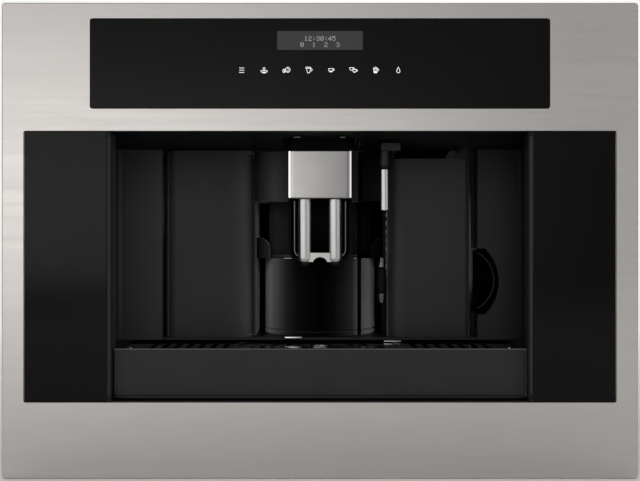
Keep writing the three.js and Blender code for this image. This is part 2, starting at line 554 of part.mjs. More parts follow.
function spoutShroud() {
  const { half, z0, y0, wall, round, neckHalf, neckY, neckTop } = SHROUD;
  const seat = SPOUT.z0 - FIT;
  const front = new THREE.Shape();
  front.moveTo(-half, seat);
  front.lineTo(-half, z0 + round);
  front.absarc(-half + round, z0 + round, round, Math.PI, 1.5 * Math.PI);
  front.lineTo(half - round, z0);
  front.absarc(half - round, z0 + round, round, 1.5 * Math.PI, 2 * Math.PI);
  front.lineTo(half, seat);
  const outer = backward(front, y0, SPOUT.y1);
  const hollow = backward(rounded(-half + wall, half - wall, z0 + wall, seat + 20, round - wall),
    y0 - 1, SPOUT.y1 - wall);
  const neck = block(-neckHalf, neckHalf, neckY, SPOUT.y1, seat - 4, neckTop);
  const neckHollow = block(-neckHalf + wall, neckHalf - wall, neckY - 1, SPOUT.y1 - wall, seat - 5,
    neckTop - wall);
  const hooks = [-1, 1].map((side) => {
    const [x0, x1] = span(side, GUIDE.half + RUN, GUIDE.hook);
    return block(x0, x1, SPOUT.y1 - 1, GUIDE.hookY, z0 + round, neckTop);
  });
  return join(cut(outer, hollow), cut(neck, neckHollow), ...hooks);
}

// ---------------------------------------------------------------- hot water
function hotSpoutCap() {
  const { x0, x1, y0, y1, z0, z1, round } = HOT_CAP;
  const cap = upward(rounded(x0, x1, y0, y1, round), z0, z1);
  const neck = post(HOT.x, HOT.y, HOT.z1 + FIT, z0 + 1, HOT.neckR, HOT.neckR, 24);
  const socket = bar(CONNECTOR.x, CONNECTOR.z + 1, y1 - 4, y1 + 1, 1.2, 12);
  return cut(join(cap, neck), socket);
}

function hotSpoutTube() {
  const { x, y, tubeR, bore, z0, z1 } = HOT;
  return turned(x, y, [[0, z0 + 12], [bore, z0 + 12], [bore, z0], [tubeR - 0.6, z0], [tubeR, z0 + 0.8],
    [tubeR, z1 - 1], [tubeR - 1, z1], [0, z1]], 32);
}

function hotConnector() {
  const { x, r, z, back, padHalf, padY } = CONNECTOR;
  const pipe = bar(x, z, HOT_CAP.y1 + FIT, back, r, 16);
  const pad = block(x - padHalf, x + padHalf, padY, back, z - r, CEILING.back - FIT);
  return join(pipe, pad);
}

// ---------------------------------------------------------------- water tank
function tankFront() {
  const { x0, x1, z1, frontBack, round } = TANK;
  const face = NICHE.depth;
  const plan = (inset) => outline([
    [x0 + inset, frontBack + (inset ? 1 : 0)],
    ...arc(x0 + COVER.round, face + COVER.round, COVER.round - inset, Math.PI, 1.5 * Math.PI, 7),
    ...arc(x1 - round, face + round, round - inset, 1.5 * Math.PI, 2 * Math.PI, 4),
    [x1 - inset, frontBack + (inset ? 1 : 0)]]);
  const z0 = shelfTop + FIT;
  const shell = cut(upward(plan(0), z0, z1), upward(plan(MOULD), z0 + MOULD, z1 - MOULD));
  const tab = backward(outline([[TAB.low, z1 - 1], [TAB.end, z1 - 1], [TAB.end, TAB.top],
    [TAB.high, TAB.top]]), TAB.y0, TAB.y1);
  return join(shell, tab);
}

function tankBody() {
  const { x0, x1, y1, wall, bodyInset, frontBack } = TANK;
  const a0 = x0 + bodyInset;
  const a1 = x1 - bodyInset;
  const y0 = frontBack + FIT;
  const z0 = shelfTop + FIT;
  const outer = upward(rounded(a0, a1, y0, y1, TANK_BODY.corner), z0, TANK_BODY.z1);
  const inner = upward(rounded(a0 + wall, a1 - wall, y0 + wall, y1 - wall, TANK_BODY.corner - wall),
    z0 + wall, TANK_BODY.z1 + 1);
  return cut(outer, inner);
}

function tankLid() {
  const { x0, x1, y1, bodyInset, frontBack, wall } = TANK;
  const z0 = TANK_BODY.z1 + FIT;
  const a0 = x0 + bodyInset;
  const a1 = x1 - bodyInset;
  const y0 = frontBack + FIT;
  const plate = upward(rounded(a0, a1, y0, y1, TANK_BODY.corner), z0, z0 + TANK_LID.thick);
  const skirt = wall + RUN;
  const plug = upward(rounded(a0 + skirt, a1 - skirt, y0 + skirt, y1 - skirt, TANK_BODY.corner - skirt),
    z0 - 6, z0 + 1);
  const hollow = upward(rounded(a0 + 2 * skirt, a1 - 2 * skirt, y0 + 2 * skirt, y1 - 2 * skirt, 4),
    z0 - 7, z0 + 1.5);
  const { thick, dishR, dishDepth, dishBack, dishLength } = TANK_LID;
  const dish = bar((a0 + a1) / 2, z0 + thick + dishR - dishDepth, y1 - dishBack - dishLength, y1 - dishBack,
    dishR, 24);
  return cut(join(plate, plug), hollow, dish);
}

// ---------------------------------------------------------------- drip tray
function trayFront() {
  const { frontHalf, frontZ, frontTop, frontY, frontThick, round } = TRAY;
  const back = frontY + frontThick;
  const profile = outline([[back, frontZ], [back, frontTop],
    ...arc(frontY + round, frontTop - round, round, Math.PI / 2, Math.PI, 4),
    ...arc(frontY + round, frontZ + round, round, Math.PI, 1.5 * Math.PI, 4)]);
  return sideways(profile, -frontHalf, frontHalf);
}

function trayBasin() {
  const { half, z0, rimZ, rim, rimHalf, back, wall, corner } = BASIN;
  const y0 = TRAY.frontY + TRAY.frontThick + FIT;
  const top = rimZ + rim;
  const tub = upward(rounded(-half, half, y0, back, corner), z0, top);
  const flange = upward(rounded(-rimHalf, rimHalf, y0, back, 4), rimZ, top);
  const inner = upward(rounded(-half + wall, half - wall, y0 + wall + 2, back - wall, corner - wall),
    z0 + wall, top + 1);
  const weir = block(-half + 1, half - 1, GRID.y1 + 8, GRID.y1 + 10, z0 + 1, z0 + 24);
  const runnerZ = BAY.runnerZ + BAY.runnerH + FIT;
  const runners = [-1, 1].map((side) => {
    const [x0, x1] = span(side, half - 1, nicheEdge - RUN);
    return block(x0, x1, y0 + 12, back - 12, runnerZ, runnerZ + 2.5);
  });
  return join(cut(join(tub, flange), inner), weir, ...runners);
}

function dripGrid() {
  const z0 = gridZ;
  const z1 = gridZ + GRID.thick;
  const y0 = TRAY.frontY + TRAY.frontThick + FIT;
  const wide = nicheEdge - GRID.side;
  let plate = upward(rounded(-wide, wide, y0, GRID.y1, GRID.corner), z0, z1);
  const middle = (TRAY.frontY + TRAY.frontThick + GRID.y1) / 2;
  const slot = (x, y0, y1, w) => block(x - w / 2, x + w / 2, y0, y1, z0 - 1, z1 + 1);
  const reach = GRID_SLOTS.length / 2;
  for (let i = 0; i < GRID_SLOTS.perSide; i += 1) {
    const x = GRID.ring + GRID.ringW + GRID_SLOTS.pitch * (i + 0.4);
    const shorter = i === GRID_SLOTS.perSide - 1 ? 8 : 0;
    for (const side of [-1, 1]) {
      plate = plate.subtract(slot(side * x, middle - reach, middle + reach - shorter, GRID_SLOTS.w));
    }
  }
  for (const radius of GRID_SLOTS.rings) {
    for (let k = 0; k < 8; k += 1) {
      const mid = (k + 0.5) * Math.PI / 4;
      if (radius > reach && Math.abs(Math.sin(mid)) > 0.6) continue;
      const half = Math.PI / 8 - 4 / radius;
      const ring = [...arc(0, middle, radius - 2.5, mid - half, mid + half, 4),
        ...arc(0, middle, radius + 2.5, mid + half, mid - half, 4)];
      plate = plate.subtract(upward(outline(ring), z0 - 1, z1 + 1));
    }
  }
  const bead = (inner, outer) => cut(post(0, middle, z1 - 0.5, z1 + 1.2, outer, outer - 0.8, 56),
    post(0, middle, z0, z1 + 2, inner, inner, 56));
  const field = block(-GRID.ring - 9, GRID.ring + 9, TRAY.frontY + TRAY.frontThick + 2, GRID.y1 - 2, z0,
    z1 + 2);
  const ringBead = bead(GRID.ring - GRID.ringW / 2, GRID.ring + GRID.ringW / 2).intersect(field);
  return join(plate, ringBead, bead(8, 12));
}

// ---------------------------------------------------------------- casing
function chassisBase() {
  const { half, z0, base } = BODY;
  const plate = block(-half, half, CARRIER.back + FIT, bodyBack - FIT, z0, z0 + base);
  const grooves = GROOVES.x.map((x) => block(x - GROOVES.half, x + GROOVES.half, GROOVES.y0,
    bodyBack - GROOVES.margin, z0 - 1, z0 + base / 2));
  return cut(plate, ...grooves);
}

function sideCover(side) {
  const { half, cover, flange, z0, base, top, roof } = BODY;
  const low = z0 + base + FIT;
  const high = top - roof - FIT;
  const front = CARRIER.back + FIT;
  const [x0, x1] = span(side, half - cover, half);
  const [f0, f1] = span(side, half - cover, flange);
  const [t0, t1] = span(side, half - 12, half);
  const back = bodyBack - FIT;
  let plate = join(block(x0, x1, front, back, low, high), block(f0, f1, front, front + cover, low, high),
    block(t0, t1, front, back, high - cover, high));
  for (let i = 0; i < SIDE_SLOTS.count; i += 1) {
    const y = SIDE_SLOTS.y + i * SIDE_SLOTS.pitch;
    plate = plate.subtract(block(x0 - 1, x1 + 1, y, y + SIDE_SLOTS.w, SIDE_SLOTS.z0, SIDE_SLOTS.z1));
  }
  return plate;
}

function topCover() {
  const { half, top, roof } = BODY;
  const z0 = top - roof;
  const plate = block(-half, half, CARRIER.back + FIT, bodyBack - FIT, z0, top);
  const gap = FIT + SHEET;
  const hopper = block(HOPPER.x0 + gap, HOPPER.x1 - gap, HOPPER.y0 + gap, HOPPER.y1 - gap, z0 - 1, top + 1);
  const chute = block(-CHUTE.half, CHUTE.half, CHUTE.y0, CHUTE.y1, z0 - 1, top + 1);
  const knob = post(KNOB.x, KNOB.y, z0 - 1, top + 1, KNOB.neckR + RUN, KNOB.neckR + RUN, 20);
  let result = cut(plate, hopper, chute, knob);
  for (let i = 0; i < TOP_SLOTS.count; i += 1) {
    const x = TOP_SLOTS.x + i * TOP_SLOTS.pitch;
    result = result.subtract(block(x, x + TOP_SLOTS.w, TOP_SLOTS.y0, TOP_SLOTS.y1, z0 - 1, top + 1));
  }
  return result;
}

function rearCover() {
  const { half, z0, base, top, roof } = BODY;
  const low = z0 + base + FIT;
  const through = [bodyBack - 1, DEPTH_ALL + 1];
  const inletW = INLET.w / 2 + FIT;
  const inletH = INLET.h / 2 + FIT;
  let plate = block(-half, half, bodyBack, DEPTH_ALL, low, top - roof - FIT);
  plate = plate.subtract(block(INLET.x - inletW, INLET.x + inletW, ...through, INLET.z - inletH,
    INLET.z + inletH));
  for (let row = 0; row < REAR_SLOTS.rows; row += 1) {
    for (let i = 0; i < REAR_SLOTS.count; i += 1) {
      const z = REAR_SLOTS.z + i * REAR_SLOTS.pitch;
      const x = REAR_SLOTS.rowX + row * REAR_SLOTS.rowPitch;
      plate = plate.subtract(block(x, x + REAR_SLOTS.length, ...through, z, z + REAR_SLOTS.h));
    }
  }
  return plate;
}

function midDeck() {
  const half = BODY.half - BODY.cover - FIT;
  const z1 = DECK.z + DECK.thick;
  const plate = block(-half, half, DECK.y0, bodyBack - FIT, DECK.z, z1);
  const grinder = post(GRINDER.x, GRINDER.y, DECK.z - 1, z1 + 1, GRINDER.r + 1, GRINDER.r + 1, 32);
  const chuteR = CHUTE.outlet + 1;
  const chute = post(0, (CHUTE.y0 + CHUTE.y1) / 2, DECK.z - 1, z1 + 1, chuteR, chuteR, 20);
  return cut(plate, grinder, chute);
}

function partition(side) {
  const [x0, x1] = span(side, PARTITION.x, PARTITION.x + PARTITION.thick);
  const [f0, f1] = span(side, PARTITION.x, PARTITION.x + 16);
  const z0 = shelfTop + FIT;
  const wall = block(x0, x1, PARTITION.y0, bodyBack - 20, z0, DECK.z - FIT);
  const foot = block(f0, f1, PARTITION.y0, bodyBack - 20, z0, z0 + SHEET);
  return join(wall, foot);
}

// ---------------------------------------------------------------- working parts inside
function beanHopper() {
  const { x0, x1, y0, y1, z0, wall, outletR } = HOPPER;
  const z1 = BODY.top - BODY.roof - FIT;
  const low = [GRINDER.x - outletR - wall, GRINDER.x + outletR + wall, GRINDER.y - outletR - wall,
    GRINDER.y + outletR + wall];
  const inner = [low[0] + wall, low[1] - wall, low[2] + wall, low[3] - wall];
  const shoulder = z1 - 20;
  const mouth = [x0, x1, y0, y1];
  const room = [x0 + wall, x1 - wall, y0 + wall, y1 - wall];
  const outer = join(tapered(low, mouth, z0, shoulder), block(...mouth, shoulder - 0.01, z1));
  const hollow = join(tapered(inner, room, z0 - 0.01, shoulder), block(...room, shoulder - 0.02, z1 + 1),
    block(...inner, z0 - 1, z0 + 1));
  return cut(outer, hollow);
}

function grinderBody() {
  const { x, y, r, flangeR, z0, z1, motorH, step } = GRINDER;
  const deckTop = DECK.z + DECK.thick + FIT;
  return turned(x, y, [[0, z0], [r - 8, z0], [r - 6, z0 + 4], [r - 6, z0 + motorH],
    [r, z0 + motorH + step], [r, deckTop],
    [flangeR, deckTop], [flangeR, deckTop + 4], [r, deckTop + 5], [r, z1 - 8], [r - 6, z1], [8, z1],
    [8, z1 - 10], [0, z1 - 14]], 32);
}

function groundChute() {
  const { half, y0, y1, z0, wall, outlet } = CHUTE;
  const z1 = BODY.top - BODY.roof - FIT;
  const middle = (y0 + y1) / 2;
  const lip = FIT + 1;
  const low = [-outlet - wall, outlet + wall, middle - outlet - wall, middle + outlet + wall];
  const top = [-half - lip, half + lip, y0 - lip, y1 + lip];
  const inner = low.map((value, i) => value + (i % 2 ? -wall : wall));
  const innerTop = top.map((value, i) => value + (i % 2 ? -wall : wall));
  const outer = tapered(low, top, z0, z1);
  const hollow = join(tapered(inner, innerTop, z0 - 0.01, z1 + 0.01), block(...inner, z0 - 1, z0 + 1),
    block(...innerTop, z1 - 0.02, z1 + 1));
  return cut(outer, hollow);
}

/** A lid with chamfered rims and a finger hollow at its front edge. */
function topLid(x0, x1, y0, y1) {
  const { thick, over, z } = LID;
  const plate = bevelled(rounded(x0 - over, x1 + over, y0 - over, y1 + over, 5), z, z + thick, 1);
  const grip = bar((x0 + x1) / 2, z + thick + 7, y0 - over - 1, y0 + 9, 9, 24);
  return cut(plate, grip);
}

function grinderKnob() {
  const { x, y, r, h, neckR, lobes, fluteR, fluteOut } = KNOB;
  const z0 = LID.z;
  const cap = turned(x, y, [[0, z0], [r, z0], [r, z0 + h - 2], [r - 2, z0 + h], [0, z0 + h]], 36);
  const flutes = Array.from({ length: lobes }, (_, i) => {
    const angle = i * 2 * Math.PI / lobes;
    const out = r + fluteOut;
    return post(x + out * Math.cos(angle), y + out * Math.sin(angle), z0 - 1, z0 + h + 1, fluteR, fluteR, 16);
  });
  const neck = post(x, y, BODY.top - 20, z0 + 1, neckR, neckR, 20);
  const foot = post(x, y, BODY.top - BODY.roof - 8, BODY.top - BODY.roof - FIT, neckR + 4, neckR + 4, 20);
  return join(cut(cap, ...flutes), neck, foot);
}

function groundsBin() {
  const { x0, x1, y0, y1, z1, wall, corner } = BINS;
  const z0 = shelfTop + FIT;
  const outer = upward(rounded(x0, x1, y0, y1, corner), z0, z1);
  const inner = upward(rounded(x0 + wall, x1 - wall, y0 + wall, y1 - wall, corner - wall), z0 + wall, z1 + 1);
  return cut(outer, inner);
}

function brewUnit() {
  const { y, r, z1, neck, baseHalf, baseY0, baseY1, baseTop } = BREW;
  const z0 = shelfTop + FIT;
  const base = upward(rounded(-baseHalf, baseHalf, baseY0, baseY1, 6), z0, baseTop);
  const chamber = turned(0, y, [[0, baseTop - 1], [r, baseTop - 1], [r, z1 - 20], [r - 5, z1 - 14],
    [r - 5, z1], [r - 14, z1], [r - 14, z1 + neck], [0, z1 + neck]], 32);
  const motor = post(0, baseY1 - MOTOR.inset, baseTop - 1, baseTop + MOTOR.h, MOTOR.r, MOTOR.r, 28);
  const gearCase = upward(rounded(-24, 24, y + 20, baseY1 - 2, 6), baseTop - 1, baseTop + 18);
  const screw = post(baseHalf - 9, y, baseTop - 1, z1, 5, 5, 16);
  const arm = upward(rounded(0, baseHalf - 2, y - 7, y + 7, 5), z1 - 12, z1 - 4);
  return join(base, chamber, motor, gearCase, screw, arm);
}

function waterPump() {
  const { x, z, r, y0, y1, foot, footFront, footBack } = PUMP;
  const coil = bar(x, z, y0 + 20, y1 - 26, r + 3, 28);
  const core = bar(x, z, y0, y1, r - 8, 20);
  const base = BODY.z0 + BODY.base + FIT;
  const feet = [y0 + footFront, y1 - footBack].map((y) => block(x - foot, x + foot, y, y + 8, base, z));
  return join(coil, core, ...feet);
}

function waterHeater() {
  const { x0, x1, y0, y1, h, finGap } = HEATER;
  const z0 = DECK.z + DECK.thick + FIT;
  let body = upward(rounded(x0, x1, y0, y1, 10), z0, z0 + h);
  for (let y = y0 + finGap; y < y1 - finGap; y += finGap) {
    body = body.subtract(block(x0 - 1, x1 + 1, y, y + 4, z0 + h - 14, z0 + h + 1));
  }
  return body;
}

function controlBoard() {
  const { x0, x1, y0, y1, stand, thick } = BOARD;
  const z0 = DECK.z + DECK.thick + FIT;
  const plate = block(x0, x1, y0, y1, z0 + stand, z0 + stand + thick);
  const legs = [[x0 + 6, y0 + 6], [x1 - 6, y0 + 6], [x0 + 6, y1 - 6], [x1 - 6, y1 - 6]]
    .map(([x, y]) => post(x, y, z0, z0 + stand + 0.5, 4, 4, 12));
  const top = z0 + stand + thick - 0.5;
  const parts = BOARD_PARTS.map(([dx, dy, w, l, h]) =>
    block(x0 + dx, x0 + dx + w, y0 + dy, y0 + dy + l, top, top + h));
  return join(plate, ...legs, ...parts);
}

function inletModule() {
  const { x, z, w, h, depth, socketW, socketH, socketCut, lip, socketDepth } = INLET;
  const back = DEPTH_ALL - depth;
  const shell = backward(rounded(x - w / 2, x + w / 2, z - h / 2, z + h / 2, 2), back, DEPTH_ALL - FIT);
  const socketX = x - w / 2 + lip + socketW / 2;
  const [left, right] = [socketX - socketW / 2, socketX + socketW / 2];
  const [low, high] = [z - socketH / 2, z + socketH / 2];
  const socket = backward(outline([[left, low], [right, low], [right, high - socketCut],
    [right - socketCut, high], [left + socketCut, high], [left, high - socketCut]]),
  DEPTH_ALL - socketDepth, DEPTH_ALL + 1);
  const prongs = [-7, 0, 7].map((dx) => block(socketX + dx - 1, socketX + dx + 1, back + 2, DEPTH_ALL - 4,
    z - (dx ? 2.5 : 0), z + (dx ? 2.5 : 5)));
  const rocker = backward(rounded(ROCKER.x - ROCKER.w / 2 - RUN, ROCKER.x + ROCKER.w / 2 + RUN,
    z - ROCKER.h / 2 - RUN, z + ROCKER.h / 2 + RUN, 0.5), DEPTH_ALL - ROCKER.well, DEPTH_ALL + 1);
  const footZ = BODY.z0 + BODY.base + FIT;
  const foot = block(x - w / 2, x + w / 2, back, back + 0.6 * depth, footZ, z - h / 2 + 1);
  return join(cut(shell, socket, rocker), ...prongs, foot);
}

/** Rocker of the mains switch: two flats that meet at its pivot line. */
function mainsRocker() {
  const { w, h, depth, x, tilt } = ROCKER;
  const { z } = INLET;
  const face = DEPTH_ALL - FIT - RUN;
  const rise = (h / 2) * Math.tan(THREE.MathUtils.degToRad(tilt));
  const low = face - depth;
  const profile = outline([[low, z - h / 2 + RUN], [face, z - h / 2 + RUN], [face - rise, z],
    [face - rise, z + h / 2 - RUN], [low, z + h / 2 - RUN], [low - 3, z]]);
  return sideways(profile, x - w / 2, x + w / 2);
}

// ---------------------------------------------------------------- telescopic slides
/** A folded channel: web outside, two lips turned in. */
function channel(side, web, lipEnd, height) {
  const [w0, w1] = span(side, web - SLIDE_SHEET, web);
  const [l0, l1] = span(side, lipEnd, web);
  const z0 = SLIDE.z - height / 2;
  const z1 = SLIDE.z + height / 2;
  const y1 = SLIDE.y0 + SLIDE.length;
  return join(block(w0, w1, SLIDE.y0, y1, z0, z1),
    block(l0, l1, SLIDE.y0, y1, z0, z0 + SLIDE_SHEET), block(l0, l1, SLIDE.y0, y1, z1 - SLIDE_SHEET, z1));
}

function slideFixed(side) {
  const holes = [60, 180, 300].map((dy) => {
    const [x0, x1] = span(side, SLIDE.outer - 3, SLIDE.outer + 1);
    return block(x0, x1, SLIDE.y0 + dy, SLIDE.y0 + dy + 9, SLIDE.z - 2.5, SLIDE.z + 2.5);
  });
  return cut(channel(side, SLIDE.outer, SLIDE.outer - 10, SLIDE.h), ...holes);
}

function slideMiddle(side) {
  const height = SLIDE.h - 2 * SLIDE_SHEET - 2 * FIT;
  return channel(side, SLIDE.outer - SLIDE_SHEET - 2, SLIDE.inner + SLIDE_SHEET + FIT, height);
}

function slideInner(side) {
  const height = SLIDE.h - 4 * SLIDE_SHEET - 4 * FIT;
  const web = SLIDE.inner + SLIDE_SHEET;
  const reach = SLIDE.outer - 2 * SLIDE_SHEET - 2 - FIT;
  const z0 = SLIDE.z - height / 2;
  const z1 = SLIDE.z + height / 2;
  const y1 = SLIDE.y0 + SLIDE.length;
  const [w0, w1] = span(side, SLIDE.inner, web);
  const [l0, l1] = span(side, SLIDE.inner, reach);
  return join(block(w0, w1, SLIDE.y0, y1, z0, z1), block(l0, l1, SLIDE.y0, y1, z0, z0 + SLIDE_SHEET),
    block(l0, l1, SLIDE.y0, y1, z1 - SLIDE_SHEET, z1));
}

// ---------------------------------------------------------------- assembly
const machine = new THREE.Group();
const front = new THREE.Group();
const niche = new THREE.Group();
const casing = new THREE.Group();
const works = new THREE.Group();
const serviceDoor = new THREE.Group();
const coffeeSpout = new THREE.Group();
const hotSpout = new THREE.Group();
const waterTank = new THREE.Group();
const dripTray = new THREE.Group();
const slides = new THREE.Group();
machine.add(front, niche, casing, works, serviceDoor, coffeeSpout, hotSpout, waterTank, dripTray, slides);
machine.position.y = -DEPTH_ALL / 2;

place(front, 'facade', steelFront(), steel);
place(front, 'control_glass', controlGlass(), blackGlass);
place(front, 'display_board', displayBoard(), board);
place(front, 'front_carrier', frontCarrier(), darkPlastic);
place(niche, 'finger_cup', fingerCup(), satinBlack);
place(niche, 'niche_ceiling', nicheCeiling(), satinBlack);
place(niche, 'niche_floor', nicheFloor(), zinc);
place(niche, 'bay_shelf', bayShelf(), zinc);
place(niche, 'fixed_strip', fixedStrip(), satinBlack);
place(niche, 'drum_strip', drumStrip(), glossBlack);
place(niche, 'hinge_rod', hingeRod(), zinc);
place(niche, 'hot_connector', hotConnector(), darkPlastic);
for (const [name, side] of SIDES) {
  place(front, `side_glass_${name}`, sideGlass(side), blackGlass);
  place(niche, `bay_wall_${name}`, bayWall(side), satinBlack);
  place(niche, `niche_wall_${name}`, nicheWall(side), satinBlack);
  place(casing, `side_cover_${name}`, sideCover(side), zinc);
  place(casing, `partition_${name}`, partition(side), zinc);
  place(slides, `slide_fixed_${name}`, slideFixed(side), zinc);
  place(slides, `slide_middle_${name}`, slideMiddle(side), zinc);
  place(slides, `slide_inner_${name}`, slideInner(side), zinc);
}
place(casing, 'chassis_base', chassisBase(), zinc);
place(casing, 'top_cover', topCover(), zinc);
place(casing, 'rear_cover', rearCover(), zinc);
place(casing, 'mid_deck', midDeck(), darkPlastic);
place(works, 'bean_hopper', beanHopper(), clearPlastic);
place(works, 'grinder', grinderBody(), darkPlastic);
place(works, 'ground_chute', groundChute(), darkPlastic);
place(works, 'grounds_bin', groundsBin(), darkPlastic);
place(works, 'brew_unit', brewUnit(), ceramicWhite);
place(works, 'water_pump', waterPump(), zinc);
place(works, 'water_heater', waterHeater(), steel);
place(works, 'control_board', controlBoard(), board);
place(works, 'inlet_module', inletModule(), darkPlastic);
place(works, 'mains_rocker', mainsRocker(), satinBlack);
place(works, 'hopper_lid', topLid(HOPPER.x0, HOPPER.x1, HOPPER.y0, HOPPER.y1), darkPlastic);
place(works, 'chute_lid', topLid(-CHUTE.half - 3, CHUTE.half + 3, CHUTE.y0 - 3, CHUTE.y1 + 3), darkPlastic);
place(works, 'grinder_knob', grinderKnob(), satinBlack);
place(serviceDoor, 'door_panel', doorPanel(), satinBlack);
place(serviceDoor, 'drum_cover', drumCover(), glossBlack);
place(serviceDoor, 'drum_base', drumBase(), glossBlack);
place(serviceDoor, 'spout_guide', spoutGuide(), darkPlastic);
place(coffeeSpout, 'spout_housing', spoutHousing(), chrome);
place(coffeeSpout, 'spout_nozzles', spoutNozzles(), chrome);
place(coffeeSpout, 'spout_shroud', spoutShroud(), satinBlack);
place(hotSpout, 'hot_spout_cap', hotSpoutCap(), darkPlastic);
place(hotSpout, 'hot_spout_tube', hotSpoutTube(), chrome);
place(waterTank, 'tank_front', tankFront(), satinBlack);
place(waterTank, 'tank_body', tankBody(), clearPlastic);
place(waterTank, 'tank_lid', tankLid(), darkPlastic);
place(dripTray, 'tray_front', trayFront(), satinBlack);
place(dripTray, 'tray_basin', trayBasin(), darkPlastic);
place(dripTray, 'drip_grid', dripGrid(), steel);

export default machine;
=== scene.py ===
"""Looks of a built-in coffee machine: finishes, small fittings, stage, lamps and camera.

Metres, Z up. X runs to the viewer's right and the front faces -Y. Every piece rides on a body of the frame.
"""
import math

import bmesh
import bpy
from bpy.props import FloatProperty, FloatVectorProperty, PointerProperty
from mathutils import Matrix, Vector


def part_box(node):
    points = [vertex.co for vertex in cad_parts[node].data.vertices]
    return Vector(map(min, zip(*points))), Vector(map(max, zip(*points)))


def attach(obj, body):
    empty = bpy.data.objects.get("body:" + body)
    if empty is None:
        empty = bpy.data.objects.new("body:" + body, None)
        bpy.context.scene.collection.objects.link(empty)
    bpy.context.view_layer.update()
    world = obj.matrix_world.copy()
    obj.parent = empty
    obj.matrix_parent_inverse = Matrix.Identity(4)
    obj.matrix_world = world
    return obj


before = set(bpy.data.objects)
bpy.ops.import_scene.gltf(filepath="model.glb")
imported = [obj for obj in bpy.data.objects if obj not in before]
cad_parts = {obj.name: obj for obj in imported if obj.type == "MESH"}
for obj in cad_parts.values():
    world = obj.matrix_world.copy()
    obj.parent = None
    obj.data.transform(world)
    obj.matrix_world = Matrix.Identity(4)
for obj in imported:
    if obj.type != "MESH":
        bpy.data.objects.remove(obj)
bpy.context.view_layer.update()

bl_info = {
    "name": "Built-in Coffee Machine",
    "version": (1, 0, 0),
    "blender": (4, 5, 0),
    "location": "View3D > Sidebar > Coffee Machine",
    "description": "Dresses a packed coffee machine with its finishes and fittings, and lights it",
    "category": "Object",
}

MM = 0.001
SIDES = (("left", -1), ("right", 1))


def linear(red, green, blue):
    """Linear colour from screen values between 0 and 255."""
    def decode(value):
        value /= 255
        return value / 12.92 if value <= 0.04045 else ((value + 0.055) / 1.055) ** 2.4
    return tuple(decode(value) for value in (red, green, blue))


# ---------------------------------------------------------------- settings
def size(name, description, default):
    """A length in metres that a user can change."""
    return FloatProperty(name=name, description=description, default=default, unit="LENGTH",
                         subtype="DISTANCE", precision=5)


def colour(name, description, *screen):
    """A colour that a user can change, given as it shows on screen."""
    return FloatVectorProperty(name=name, description=description, default=linear(*screen), size=3,
                               subtype="COLOR", min=0.0, max=1.0)


def power(name, description, default):
    """A lamp's power in watts that a user can change."""
    return FloatProperty(name=name, description=description, default=default, unit="POWER")


class FinishSettings(bpy.types.PropertyGroup):
    steel: colour("Steel", "Brushed steel of the front", 194, 191, 189)
    glass: colour("Glass", "Black glass of the panels", 5, 5, 5)
    satin: colour("Satin black", "Textured black mouldings of the niche", 32, 32, 32)
    # The wall and door tones are their brightest painted highlight; painted shade dims them elsewhere.
    wall: colour("Wall black", "Textured black of the niche's curved walls", 50, 50, 50)
    door: colour("Door black", "Lacquered black of the service door", 50, 50, 50)
    gloss: colour("Gloss black", "Polished black rings, clips and tips", 14, 14, 15)
    dark: colour("Dark plastic", "Plain dark mouldings", 30, 30, 31)
    chrome: colour("Chrome", "Polished plating of the tabs, studs and beads", 226, 226, 228)
    zinc: colour("Zinc", "Galvanised sheet of the casing", 176, 180, 182)
    grid: colour("Grid", "Dark plated drip grid", 132, 132, 134)
    edge: size("Edge", "Rounding of moulded and folded edges", 0.5 * MM)


class ControlSettings(bpy.types.PropertyGroup):
    pitch: size("Pitch", "Distance between two touch symbols", 20.9 * MM)
    drop: size("Drop", "Symbols below the top of the glass", 48.2 * MM)
    symbol: size("Symbol", "Height of a touch symbol", 5.9 * MM)
    stroke: size("Stroke", "Line width of a touch symbol", 0.5 * MM)
    pane_width: size("Display width", "Width of the display pane", 80.0 * MM)
    pane_height: size("Display height", "Height of the display pane", 17.6 * MM)
    pane_drop: size("Display drop", "Display below the top of the glass", 11.6 * MM)
    text_drop: size("Text drop", "Figures below the top of the display", 4.9 * MM)
    line_pitch: size("Line pitch", "Distance between the display's two lines", 5.704 * MM)
    dot: size("Dot", "Pitch of the dots in the display's figures", 0.62 * MM)
    lit: colour("Symbol colour", "Colour of the lit symbols", 214, 214, 212)
    pane: colour("Display colour", "Colour of the resting display", 44, 44, 45)
    figures: colour("Figure colour", "Colour of the figures in the display", 150, 150, 149)


